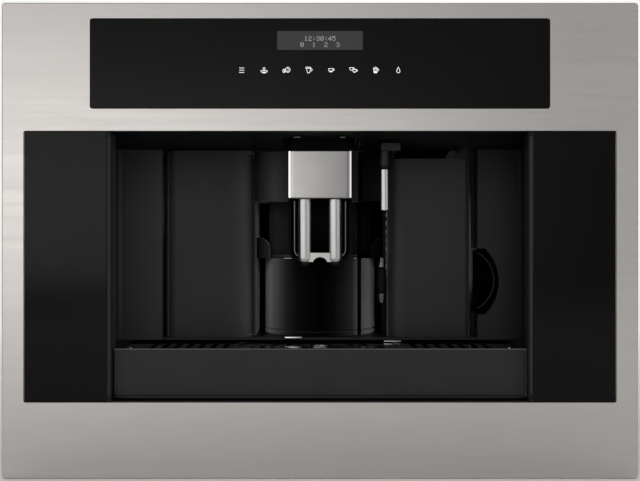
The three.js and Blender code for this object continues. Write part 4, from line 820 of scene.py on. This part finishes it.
def turned(name, finish, body, profile, centre, axis="Z", steps=32):
    """A piece that is one profile turned about an axis."""
    mesh = bmesh.new()
    lathe(mesh, profile, centre, axis, steps)
    piece(name, mesh, finish, body)


def drawn(name, finish, body, points, width, y, thick, smooth=True):
    """A piece that is one line drawn through (x, z) points."""
    mesh = bmesh.new()
    stroke(mesh, points, width, y, thick)
    piece(name, mesh, finish, body, smooth)


def curve_points(cx, cz, rx, rz, start, end, steps=12):
    """Points along an ellipse between two angles in degrees."""
    return [(cx + rx * math.cos(math.radians(a)), cz + rz * math.sin(math.radians(a)))
            for a in (start + (end - start) * i / steps for i in range(steps + 1))]


def place_y(depth):
    """Row Y of a depth behind the steel front's face."""
    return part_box("facade")[0].y + depth


# ---------------------------------------------------------------- control panel
def draw_symbol(kind, mesh, cx, cz, scale, width, y, thick):
    """Draws one touch symbol about its centre; scale is half its height."""
    def line(points, closed=False):
        stroke(mesh, [(cx + x * scale, cz + z * scale) for x, z in points], width, y, thick, closed)

    def fill(points):
        plate(mesh, [(cx + x * scale, cz + z * scale) for x, z in points], y, thick)

    if kind == "menu":
        for z in (0.72, 0.0, -0.72):
            line([(-0.8, z), (0.8, z)])
    elif kind == "steam":
        line(curve_points(0, -0.15, 1.0, 0.75, 180, 360), closed=True)
        fill(curve_points(0, -0.5, 0.5, 0.3, 180, 360))
        line(curve_points(0.0, 0.5, 0.32, 0.34, 0, 330), closed=True)
    elif kind == "beans":
        line(curve_points(-0.75, -0.2, 0.42, 0.55, 0, 345), closed=True)
        line(curve_points(0.45, 0.12, 0.72, 0.8, 0, 345), closed=True)
        line(curve_points(0.25, 0.12, 0.32, 0.72, 80, -80, 8))
        line(curve_points(-0.82, -0.2, 0.2, 0.45, 80, -80, 8))
    elif kind == "glass":
        line([(-0.95, 0.95), (0.55, 0.95), (0.6, 0.6), (-0.9, 0.6)], closed=True)
        line([(-0.75, 0.6), (-0.42, -0.85), (0.25, -0.85), (0.6, 0.6)])
        line(curve_points(0.55, 0.12, 0.5, 0.42, 90, -80, 8))
    elif kind == "cup":
        line([(-0.85, 0.5), (0.6, 0.5), (0.45, -0.25), (0.15, -0.55), (-0.4, -0.55), (-0.7, -0.25)],
             closed=True)
        fill([(0.42, -0.2), (0.12, -0.55), (-0.38, -0.55), (-0.66, -0.2)])
        line(curve_points(0.62, 0.18, 0.34, 0.28, 90, -90, 8))
    elif kind == "cups":
        for dx, dz in ((-0.55, 0.35), (0.4, -0.25)):
            line([(dx - 0.7, dz + 0.45), (dx + 0.5, dz + 0.45), (dx + 0.32, dz - 0.2),
                  (dx + 0.1, dz - 0.42), (dx - 0.3, dz - 0.42), (dx - 0.55, dz - 0.2)], closed=True)
            line(curve_points(dx + 0.52, dz + 0.12, 0.3, 0.24, 90, -90, 8))
        fill([(0.7, -0.45), (0.5, -0.66), (0.12, -0.66), (-0.12, -0.45)])
    elif kind == "mug":
        line([(-0.8, 0.45), (-0.55, -0.85), (0.25, -0.85), (0.5, 0.45)])
        line(curve_points(-0.15, 0.5, 0.66, 0.42, 0, 180, 10))
        line(curve_points(-0.15, 0.32, 0.4, 0.24, 0, 330, 10), closed=True)
        fill([(0.3, -0.3), (0.2, -0.8), (-0.5, -0.8), (-0.6, -0.3)])
        line(curve_points(0.5, 0.1, 0.36, 0.34, 90, -80, 8))
    elif kind == "drop":
        line([(0, 1.0), (-0.3, 0.3)] + curve_points(0, -0.3, 0.52, 0.52, 160, 380, 14) + [(0.3, 0.3)],
             closed=True)


SYMBOLS = ("menu", "steam", "beans", "glass", "cup", "cups", "mug", "drop")

# Dots of the figures, row by row from the top, five across.
FIGURES = {
    "0": "01110 10001 10011 10101 11001 10001 01110",
    "1": "00100 01100 00100 00100 00100 00100 01110",
    "2": "01110 10001 00001 00110 01000 10000 11111",
    "3": "01110 10001 00001 00110 00001 10001 01110",
    "4": "00010 00110 01010 10010 11111 00010 00010",
    "5": "11111 10000 11110 00001 00001 10001 01110",
    ":": "00000 00100 00100 00000 00100 00100 00000",
}


def draw_figures(mesh, text, top, dot, y, thick):
    """Draws a line of figures as square dots, centred on the machine's middle. A space stays empty."""
    left = -(len(text) * 6 - 1) * dot / 2
    square = 0.86 * dot
    for place, figure in enumerate(text):
        for row, dots in enumerate(FIGURES.get(figure, "").split()):
            for column, on in enumerate(dots):
                if on == "1":
                    x0, z1 = left + (place * 6 + column) * dot, top - row * dot
                    x1, z0 = x0 + square, z1 - square
                    plate(mesh, [(x0, z1), (x1, z1), (x1, z0), (x0, z0)], y, thick)


class MACHINE_OT_control_panel(bpy.types.Operator):
    """Adds the display pane, its figures and the touch symbols to the control glass"""
    bl_idname = "machine.control_panel"
    bl_label = "Control Panel"

    def execute(self, context):
        control = looks().control
        low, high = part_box("control_glass")
        ink = 0.1 * MM
        print_y, figures_y = low.y - ink, low.y - 1.8 * ink  # prints sink into what carries them
        half, top = control.pane_width / 2, high.z - control.pane_drop
        outline = rounded_outline(-half, half, top - control.pane_height, top, 0.5 * MM)
        mesh = bmesh.new()
        plate(mesh, outline, print_y, 1.5 * ink)
        piece("display_pane", mesh, "display_pane", "machine", smooth=False)
        mesh = bmesh.new()
        for line, text in enumerate(("12:30:45", "0  1  2  3")):
            line_top = top - control.text_drop - line * control.line_pitch
            draw_figures(mesh, text, line_top, control.dot, figures_y, ink)
        piece("display_figures", mesh, "lit_figures", "machine", smooth=False)
        middle = (len(SYMBOLS) - 1) / 2
        for index, kind in enumerate(SYMBOLS):
            mesh = bmesh.new()
            draw_symbol(kind, mesh, (index - middle) * control.pitch, high.z - control.drop,
                        control.symbol / 2, control.stroke, print_y, 1.5 * ink)
            piece(f"symbol_{kind}", mesh, "lit_symbols", "machine", smooth=False)
        return {"FINISHED"}


# ---------------------------------------------------------------- niche
class MACHINE_OT_cup_lamps(bpy.types.Operator):
    """Adds the two cup lamps in the niche's sloping ceiling, each a lens in a ring"""
    bl_idname = "machine.cup_lamps"
    bl_label = "Cup Lamps"

    def execute(self, context):
        niche = looks().niche
        low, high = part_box("niche_ceiling")
        slope = (high.z - niche.ceiling - low.z) / (niche.slope_end - niche.slope_start)
        z = high.z - niche.ceiling - slope * (niche.lamp_depth - niche.slope_start)
        r, lip, dome = niche.lamp_radius, 0.3 * MM, 1.2 * MM
        ring = [(r, 0), (r * 1.25, 0), (r * 1.3, -lip), (r * 1.2, -3 * lip), (r, -3 * lip),
                (r * 0.96, -0.4 * MM), (r * 0.96, 0)]
        lens = [(r * 0.94 * math.sin(a), -lip - dome * math.cos(a))
                for a in (i * math.pi / 12 for i in range(1, 7))]
        for side, sign in SIDES:
            seat = (sign * niche.lamp_spread, place_y(niche.lamp_depth), z)
            turned(f"lamp_ring_{side}", "gloss_black", "machine", ring, seat)
            turned(f"lamp_lens_{side}", "lamp_lens", "machine",
                   [(0, -lip - dome)] + lens + [(r * 0.94, 0), (0, 0)], seat)
        return {"FINISHED"}


class MACHINE_OT_door_trim(bpy.types.Operator):
    """Adds black strips of painted shade behind the door's seam, the apron behind the shaft and painted
    highlights along the ears' edges
    """
    bl_idname = "machine.door_trim"
    bl_label = "Door Trim"

    def execute(self, context):
        niche = looks().niche
        strip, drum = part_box("fixed_strip"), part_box("drum_strip")
        gap, thick, drum_skin, clear = 0.3 * MM, 1.5 * MM, 1.5 * MM, 0.5 * MM
        left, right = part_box("door_panel")[1].x + 2 * gap, strip[0].x + gap
        mesh = bmesh.new()
        for back, z0, z1 in ((strip[0].y + niche.skin, niche.brow, strip[1].z - clear),
                             (place_y(niche.column) + niche.skin, drum[1].z, niche.brow),
                             (drum[0].y + drum_skin, drum[0].z + clear, drum[1].z)):
            slab(mesh, (left, back + gap, z0), (right, back + gap + thick, z1), bevel=0.3 * MM)
        piece("seam_shade_strip", mesh, "shade_black", "machine")
        front, top = place_y(niche.apron_depth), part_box("niche_ceiling")[1].z
        mesh = bmesh.new()
        slab(mesh, (-niche.apron, front, top - niche.apron_drop),
             (niche.apron, front + thick, top + niche.apron_rise), bevel=0.4 * MM)
        piece("shaft_apron", mesh, "ceiling_shade_black", "machine")
        for body, (side, sign) in zip(("service_door", "machine"), SIDES):
            x, r = sign * niche.ear_x, niche.ear_radius
            arc = curve_points(x, niche.ear_z, -sign * r, r, 0, 86)
            drawn(f"ear_highlight_{side}", "highlight_edge", body, [(x - sign * r, niche.ear_z - niche.ear_drop)] + arc,
                  width=0.8 * MM, y=drum[0].y, thick=0.3 * MM)
        return {"FINISHED"}


class MACHINE_OT_tray_trim(bpy.types.Operator):
    """Adds the skirt under the drip tray's front and a painted highlight along its edge"""
    bl_idname = "machine.tray_trim"
    bl_label = "Tray Trim"

    def execute(self, context):
        tray = looks().tray
        low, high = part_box("tray_front")
        inset, thick, lap = 0.2 * MM, 2.4 * MM, 0.6 * MM
        mesh = bmesh.new()
        slab(mesh, (low.x, low.y + inset, low.z - tray.skirt), (high.x, low.y + inset + thick, low.z + lap),
             bevel=0.3 * MM)
        piece("tray_skirt", mesh, "satin_black", "drip_tray")
        half = tray.edge / 2
        path = [(low.x + half, high.z - half), (high.x - half, high.z - half), (high.x - half, low.z + half)]
        drawn("tray_edge_highlight", "highlight_edge", "drip_tray", path, tray.edge, y=low.y, thick=0.3 * MM)
        return {"FINISHED"}


class MACHINE_OT_edge_clips(bpy.types.Operator):
    """Adds the clips at the ends of the niche's edge mouldings"""
    bl_idname = "machine.edge_clips"
    bl_label = "Edge Clips"

    def execute(self, context):
        niche = looks().niche
        r = niche.clip
        head = [(0, -0.35 * MM), (r * 0.6, -0.3 * MM), (r, 0.1 * MM), (r, 0.9 * MM), (0, 0.9 * MM)]
        for side, sign in SIDES:
            low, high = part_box(f"side_glass_{side}")
            x = (high.x if sign < 0 else low.x) - sign * niche.clip_inset
            for end, z in (("top", high.z - niche.clip_top), ("foot", low.z + niche.clip_foot)):
                turned(f"edge_clip_{end}_{side}", "gloss_black", "machine", head, (x, low.y, z), "Y", 20)
        return {"FINISHED"}


class MACHINE_OT_grid_fittings(bpy.types.Operator):
    """Adds the lifting tabs and the end studs of the drip grid"""
    bl_idname = "machine.grid_fittings"
    bl_label = "Grid Fittings"

    def execute(self, context):
        tray = looks().tray
        low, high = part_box("drip_grid")
        inset, depth, foot, margin, sink = 3 * MM, 1.8 * MM, 2 * MM, 0.4 * MM, 1 * MM
        back = high.y - inset
        tabs, feet = bmesh.new(), bmesh.new()
        for x, rise, thick in ((tray.tab_left, tray.tab_rise, tray.tab_thick),
                               (tray.tab_right, tray.tab_low, tray.tab_thick / 2)):
            top = high.z + rise
            slab(tabs, (x, back - depth, top - thick), (x + tray.tab_width, back, top), bevel=0.4 * MM)
            for left in (x + inset, x + tray.tab_width - inset - foot):
                slab(feet, (left, back - depth + margin, high.z - sink),
                     (left + foot, back - margin, top - thick / 2), bevel=0.2 * MM)
        piece("grid_tabs", tabs, "chrome_plate", "drip_grid")
        piece("grid_tab_feet", feet, "shade_black", "drip_grid")
        r = tray.stud
        mesh = bmesh.new()
        for _, sign in SIDES:
            lathe(mesh, [(r, 0), (r, 1.2 * MM), (r * 0.6, 2.0 * MM), (0, 2.2 * MM)],
                  (sign * (high.x - tray.stud_inset), low.y + tray.stud_back, high.z - 1.4 * MM), steps=24)
        piece("grid_studs", mesh, "chrome_plate", "drip_grid")
        return {"FINISHED"}


class MACHINE_OT_grip_rim(bpy.types.Operator):
    """Adds the fine rim of the finger recess beside the tank"""
    bl_idname = "machine.grip_rim"
    bl_label = "Grip Rim"

    def execute(self, context):
        niche = looks().niche
        arc = curve_points(niche.grip_x, niche.grip_z, niche.grip_radius, niche.grip_radius, -63, 63, 32)
        drawn("grip_rim", "soft_rubber", "machine", arc, width=1.3 * MM, y=place_y(niche.grip_depth),
              thick=0.6 * MM)
        return {"FINISHED"}


# ---------------------------------------------------------------- spouts
class MACHINE_OT_nozzle_tips(bpy.types.Operator):
    """Adds the rubber tips of the two coffee nozzles"""
    bl_idname = "machine.nozzle_tips"
    bl_label = "Nozzle Tips"

    def execute(self, context):
        spout = looks().spout
        low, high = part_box("spout_nozzles")
        r, h, bore = spout.tip_radius, spout.tip_length, spout.tip_bore
        profile = [(bore, 0), (r, 0), (r, -h * 0.35), (r * 0.82, -h * 0.8), (r * 0.6, -h),
                   (r * 0.42, -h), (r * 0.36, -h * 0.4), (bore, -h * 0.2)]
        for side, sign in SIDES:
            x = (low if sign < 0 else high).x - sign * spout.nozzle_radius
            turned(f"nozzle_tip_{side}", "gloss_black", "coffee_spout", profile,
                   (x, place_y(spout.nozzle_depth), low.z))
        return {"FINISHED"}


class MACHINE_OT_spout_lines(bpy.types.Operator):
    """Adds the polished beads of the spout's housing and the plated lines of its shroud"""
    bl_idname = "machine.spout_lines"
    bl_label = "Spout Lines"

    def execute(self, context):
        spout = looks().spout
        low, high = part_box("spout_housing")
        near = high.x - spout.bead_inset
        far = near + spout.bead_width
        back, end = low.y + 3 * MM, 1.2 * MM
        foot = spout.line_foot + spout.line_bend
        for side, sign in SIDES:
            mesh = bmesh.new()
            upright(mesh, [(sign * near, low.y + 0.7 * MM), (sign * far, low.y + 1.4 * MM),
                           (sign * far, back), (sign * near, back)], low.z + end, high.z - end)
            piece(f"housing_bead_{side}", mesh, "chrome_plate", "coffee_spout", smooth=False)
            turn = curve_points(sign * (spout.line_x - spout.line_bend), foot,
                                sign * spout.line_bend, spout.line_bend, 0, -80, 8)
            drawn(f"shroud_line_{side}", "smoked_chrome", "coffee_spout",
                  [(sign * spout.line_x, low.z - 1 * MM)] + turn, width=0.9 * MM,
                  y=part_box("spout_shroud")[0].y - 0.3 * MM, thick=0.4 * MM, smooth=False)
        return {"FINISHED"}


class MACHINE_OT_hot_spout_band(bpy.types.Operator):
    """Adds the black band above the hot water spout's tube"""
    bl_idname = "machine.hot_spout_band"
    bl_label = "Hot Spout Band"

    def execute(self, context):
        low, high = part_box("hot_spout_tube")
        r, band = (high.x - low.x) / 2, looks().spout.band
        turned("hot_spout_band", "gloss_black", "hot_spout",
               [(r * 0.8, 0), (r * 1.12, 0), (r * 1.12, band), (r * 0.9, band * 1.3), (r * 0.9, 0.3 * MM)],
               ((low.x + high.x) / 2, (low.y + high.y) / 2, high.z))
        return {"FINISHED"}


class MACHINE_OT_steam_valve(bpy.types.Operator):
    """Adds the steam valve's spool right of the drum, a bellied body between two plated cones"""
    bl_idname = "machine.steam_valve"
    bl_label = "Steam Valve"

    def execute(self, context):
        spout = looks().spout
        r = spout.spool_radius
        belly, half, collar, lip, tip = 8 * MM, 13.7 * MM, 14 * MM, 15.5 * MM, 23.5 * MM
        seat = (spout.spool_x, place_y(spout.spool_depth), spout.spool_z)
        mesh = bmesh.new()
        for sign in (-1, 1):
            lathe(mesh, [(0, sign * collar), (r, sign * collar), (r, sign * lip), (r * 0.8, sign * tip),
                         (0, sign * tip)], seat)
        piece("steam_valve_cones", mesh, "smoked_chrome", "machine")
        turned("steam_valve_body", "shade_black", "machine",
               [(0, -half), (r * 0.8, -half), (r * 1.1, -belly), (r * 1.2, 0), (r * 1.1, belly),
                (r * 0.8, half), (0, half)], seat)
        return {"FINISHED"}


# ---------------------------------------------------------------- casing
def screw(mesh, centre, axis, sign, radius, height):
    """A pan head with a cross recess, its head pointing along the signed axis."""
    lathe(mesh, [(radius, 0), (radius, sign * height * 0.35), (radius * 0.82, sign * height * 0.85),
                 (radius * 0.5, sign * height), (radius * 0.22, sign * height),
                 (radius * 0.16, sign * height * 0.45), (0, sign * height * 0.4)], centre, axis, 20)


class MACHINE_OT_casing_screws(bpy.types.Operator):
    """Adds the screws of the rear, side and top covers"""
    bl_idname = "machine.casing_screws"
    bl_label = "Casing Screws"

    def execute(self, context):
        casing = looks().casing
        r, h, inset = casing.screw_radius, casing.screw_height, casing.screw_inset
        front, rear, end = 30 * MM, 14 * MM, 10 * MM  # outer screws of a side, inwards from its edges
        low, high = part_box("rear_cover")
        mesh = bmesh.new()
        for x in (low.x + inset, 0, high.x - inset):
            for z in (low.z + inset, high.z - inset):
                screw(mesh, (x, high.y, z), "Y", 1, r, h)
        for share in (0.36, 0.68):
            for x in (low.x + inset, high.x - inset):
                screw(mesh, (x, high.y, low.z + (high.z - low.z) * share), "Y", 1, r, h)
        piece("rear_screws", mesh, "screw_steel", "machine")
        for side, sign in SIDES:
            low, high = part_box(f"side_cover_{side}")
            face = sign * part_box("top_cover")[1].x
            mesh = bmesh.new()
            for y in (low.y + front, (low.y + high.y) / 2, high.y - rear):
                for z in (low.z + end, high.z - end):
                    screw(mesh, (face, y, z), "X", sign, r, h)
            piece(f"side_screws_{side}", mesh, "screw_steel", "machine")
        low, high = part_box("top_cover")
        mesh = bmesh.new()
        for x in (low.x + inset, 0, high.x - inset):
            for y in (low.y + 1.5 * inset, high.y - inset):
                screw(mesh, (x, y, high.z), "Z", 1, r, h)
        piece("top_screws", mesh, "screw_steel", "machine")
        return {"FINISHED"}


class MACHINE_OT_slide_rivets(bpy.types.Operator):
    """Adds rivets to the inner members of the telescopic slides"""
    bl_idname = "machine.slide_rivets"
    bl_label = "Slide Rivets"

    def execute(self, context):
        casing = looks().casing
        r, inset, sheet = casing.rivet_radius, casing.rivet_inset, 1.4 * MM
        for side, sign in SIDES:
            low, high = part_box(f"slide_inner_{side}")
            x = (high if sign > 0 else low).x - sign * (high.x - low.x - sheet)
            head = [(0, 0), (r, 0), (r, sign * 0.8 * MM), (r * 0.6, sign * 1.6 * MM), (0, sign * 1.7 * MM)]
            mesh = bmesh.new()
            for y in (low.y + inset, (low.y + high.y) / 2, high.y - inset):
                lathe(mesh, head, (x, y, (low.z + high.z) / 2), "X", 20)
            piece(f"slide_rivets_{side}", mesh, "screw_steel", "machine")
        return {"FINISHED"}


# ---------------------------------------------------------------- finishes on the frame
class MACHINE_OT_finishes(bpy.types.Operator):
    """Gives every part of the frame its finish and softens its edges"""
    bl_idname = "machine.finishes"
    bl_label = "Finishes"

    def execute(self, context):
        edge = looks().finish.edge
        for finish, names in NODE_FINISH.items():
            for name in names:
                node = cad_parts[name]
                for place in node.material_slots:
                    place.material = finish_named(finish)
                soften(node, edge * ROUNDED.get(name, 0.0))
        bare = set(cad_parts) - {name for names in NODE_FINISH.values() for name in names}
        if bare:
            raise RuntimeError(f"parts without a finish: {sorted(bare)}")
        return {"FINISHED"}


# ---------------------------------------------------------------- stage
def add_lamp(name, power, place, target, width, height, tone=(1.0, 0.99, 0.97)):
    """A soft rectangular lamp that points at a target."""
    data = bpy.data.lights.new(name, "AREA")
    data.energy = power
    data.shape = "RECTANGLE"
    data.size = width
    data.size_y = height
    data.color = tone
    obj = bpy.data.objects.new(name, data)
    obj.location = place
    obj.rotation_euler = (Vector(target) - Vector(place)).to_track_quat("-Z", "Y").to_euler()
    obj.visible_glossy = False
    bpy.context.scene.collection.objects.link(obj)


WORLD_BASE = 0.20
WORLD_BAND_HEIGHT = 0.04  # sine of the height at which the band of light lies
WORLD_BAND_REACH = 0.26
WORLD_FIELDS = (
    # direction, cosine at its rim, cosine at its full strength, strength, whether only in the band
    ((-0.62, -0.78, 0.04), 0.50, 0.99, 1.60, True),
    ((-0.86, -0.50, 0.10), 0.10, 0.95, 0.20, False),
    ((0.80, -0.60, 0.06), 0.80, 0.98, 0.90, False),
    ((0.0, 0.0, 1.0), 0.15, 0.95, 0.18, False),
    ((0.0, 1.0, 0.1), -0.10, 0.80, 0.35, False),
    ((-0.10, -0.95, 0.20), 0.80, 0.99, 0.25, False),
)


def studio_world():
    """Soft studio surroundings: a grey room with pale fields at the sides, above and behind."""
    world = bpy.data.worlds.new("studio")
    bpy.context.scene.world = world
    world.use_nodes = True
    nodes, links = world.node_tree.nodes, world.node_tree.links
    nodes.clear()
    output = nodes.new("ShaderNodeOutputWorld")
    background = new_node(nodes, "ShaderNodeBackground", Color=(1.0, 0.985, 0.97, 1.0))
    links.new(background.outputs["Background"], output.inputs["Surface"])
    direction = nodes.new("ShaderNodeTexCoord").outputs["Generated"]

    def along(aim):
        """How far the direction lies along an aim."""
        dot = nodes.new("ShaderNodeVectorMath")
        dot.operation = "DOT_PRODUCT"
        dot.inputs[1].default_value = Vector(aim).normalized()
        links.new(direction, dot.inputs[0])
        return dot.outputs["Value"]

    def soft(value, start, end, height):
        """Rises softly from 0 at the start to a height at the end."""
        remap = new_node(nodes, "ShaderNodeMapRange", From_Min=start, From_Max=end, To_Max=height)
        remap.interpolation_type = "SMOOTHERSTEP"
        links.new(value, remap.inputs["Value"])
        return remap.outputs["Result"]

    def combined(operation, first, second):
        """The result of an operation on two values, each an output or a plain number."""
        node = nodes.new("ShaderNodeMath")
        node.operation = operation
        for socket, value in zip(node.inputs, (first, second)):
            if isinstance(value, float):
                socket.default_value = value
            else:
                links.new(value, socket)
        return node.outputs["Value"]

    height = combined("ABSOLUTE", combined("ADD", along((0, 0, 1)), -WORLD_BAND_HEIGHT), 0.0)
    band = soft(height, WORLD_BAND_REACH, 0.0, 1.0)
    total = WORLD_BASE
    for aim, rim, full, strength, in_band in WORLD_FIELDS:
        field = soft(along(aim), rim, full, strength)
        if in_band:
            field = combined("MULTIPLY", field, band)
        total = combined("ADD", field, total)
    links.new(total, background.inputs["Strength"])


FLOOR_END, BACKDROP_START = 0.3, 1.2  # the floor lightens to the backdrop's tone between these places
FLOOR_SHARE = 0.73


def pale_floor():
    """Pale paint that shows as plain background and still takes the object's shadow."""
    f = Finish("pale_floor", looks().studio.floor, 0.7, specular=0.2)
    f.tint(f.noise(0.6), 0.01)
    f.fade_back(BACKDROP_START, FLOOR_END, FLOOR_SHARE)
    f.polish(f.noise(0.2), 0.65, 0.75)
    return f.relief(f.noise(3 * MM), 0.01 * MM).material


class MACHINE_OT_stage(bpy.types.Operator):
    """Lays the pale floor and backdrop, and sets the lamps and the camera"""
    bl_idname = "machine.stage"
    bl_label = "Stage"

    def execute(self, context):
        studio = looks().studio
        reach, back, height, bend = 4.0, 2.2, 3.4, 0.5
        drop = 0.2 * MM  # keeps the floor clear of the machine's base
        profile = [(-reach, 0.0), (back - bend, 0.0)]
        profile += [(back - bend + bend * math.sin(a), bend - bend * math.cos(a))
                    for a in (i * math.pi / 16 for i in range(1, 9))]
        profile += [(back, height)]
        mesh = bmesh.new()
        rows = [[mesh.verts.new((x, y, z - drop)) for y, z in profile] for x in (-reach, reach)]
        for i in range(len(profile) - 1):
            mesh.faces.new((rows[0][i], rows[1][i], rows[1][i + 1], rows[0][i + 1]))
        data = bpy.data.meshes.new("floor")
        mesh.to_mesh(data)
        mesh.free()
        data.shade_smooth()
        data.materials.append(pale_floor())
        floor = bpy.data.objects.new("floor", data)
        context.scene.collection.objects.link(floor)

        niche = (0, place_y(60 * MM), studio.height)
        add_lamp("key_lamp", studio.key, (-0.35, -2.15, 1.15), niche, 1.6, 0.8)
        add_lamp("fill_lamp", studio.fill, (1.9, -1.2, 0.7), niche, 0.8, 1.2)
        add_lamp("top_lamp", studio.top, (0.0, -0.4, 2.2), (0, 0, 0.3), 1.6, 1.2)
        add_lamp("backdrop_lamp", studio.backdrop, (0.0, 0.9, 2.4), (0, back, 0.5), 2.4, 0.6)
        studio_world()

        camera = bpy.data.cameras.new("camera")
        camera.lens = studio.lens
        camera.sensor_width = 36.0
        camera.clip_start = 0.01
        seat = bpy.data.objects.new("camera", camera)
        seat.location = (0.0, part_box("facade")[0].y - studio.distance, studio.height)
        seat.rotation_euler = (math.pi / 2, 0, 0)
        context.scene.collection.objects.link(seat)
        context.scene.camera = seat
        context.scene.view_settings.view_transform = "Standard"
        return {"FINISHED"}


# ---------------------------------------------------------------- add-on
class MACHINE_PT_looks(bpy.types.Panel):
    """Lists the machine's steps and settings in the sidebar"""
    bl_idname = "MACHINE_PT_looks"
    bl_label = "Coffee Machine"
    bl_space_type = "VIEW_3D"
    bl_region_type = "UI"
    bl_category = "Coffee Machine"

    def draw(self, context):
        for step in STEPS:
            self.layout.operator(step.bl_idname)
        for group in MachineLooks.__annotations__:
            box = self.layout.box()
            box.label(text=group.title())
            settings = getattr(looks(), group)
            for name in type(settings).__annotations__:
                box.prop(settings, name)


STEPS = (
    MACHINE_OT_stage, MACHINE_OT_finishes, MACHINE_OT_control_panel, MACHINE_OT_cup_lamps,
    MACHINE_OT_door_trim, MACHINE_OT_tray_trim, MACHINE_OT_edge_clips, MACHINE_OT_grid_fittings,
    MACHINE_OT_grip_rim, MACHINE_OT_nozzle_tips, MACHINE_OT_spout_lines, MACHINE_OT_hot_spout_band,
    MACHINE_OT_steam_valve, MACHINE_OT_casing_screws, MACHINE_OT_slide_rivets)

CLASSES = (
    FinishSettings, ControlSettings, NicheSettings, TraySettings, SpoutSettings, CasingSettings,
    StudioSettings, MachineLooks) + STEPS + (MACHINE_PT_looks,)


def register():
    for cls in CLASSES:
        bpy.utils.register_class(cls)
    bpy.types.Scene.machine_looks = PointerProperty(type=MachineLooks)


def unregister():
    del bpy.types.Scene.machine_looks
    for cls in reversed(CLASSES):
        bpy.utils.unregister_class(cls)


def main():
    register()
    for step in STEPS:
        package, name = step.bl_idname.split(".")
        getattr(getattr(bpy.ops, package), name)()


if __name__ == "__main__":
    main()
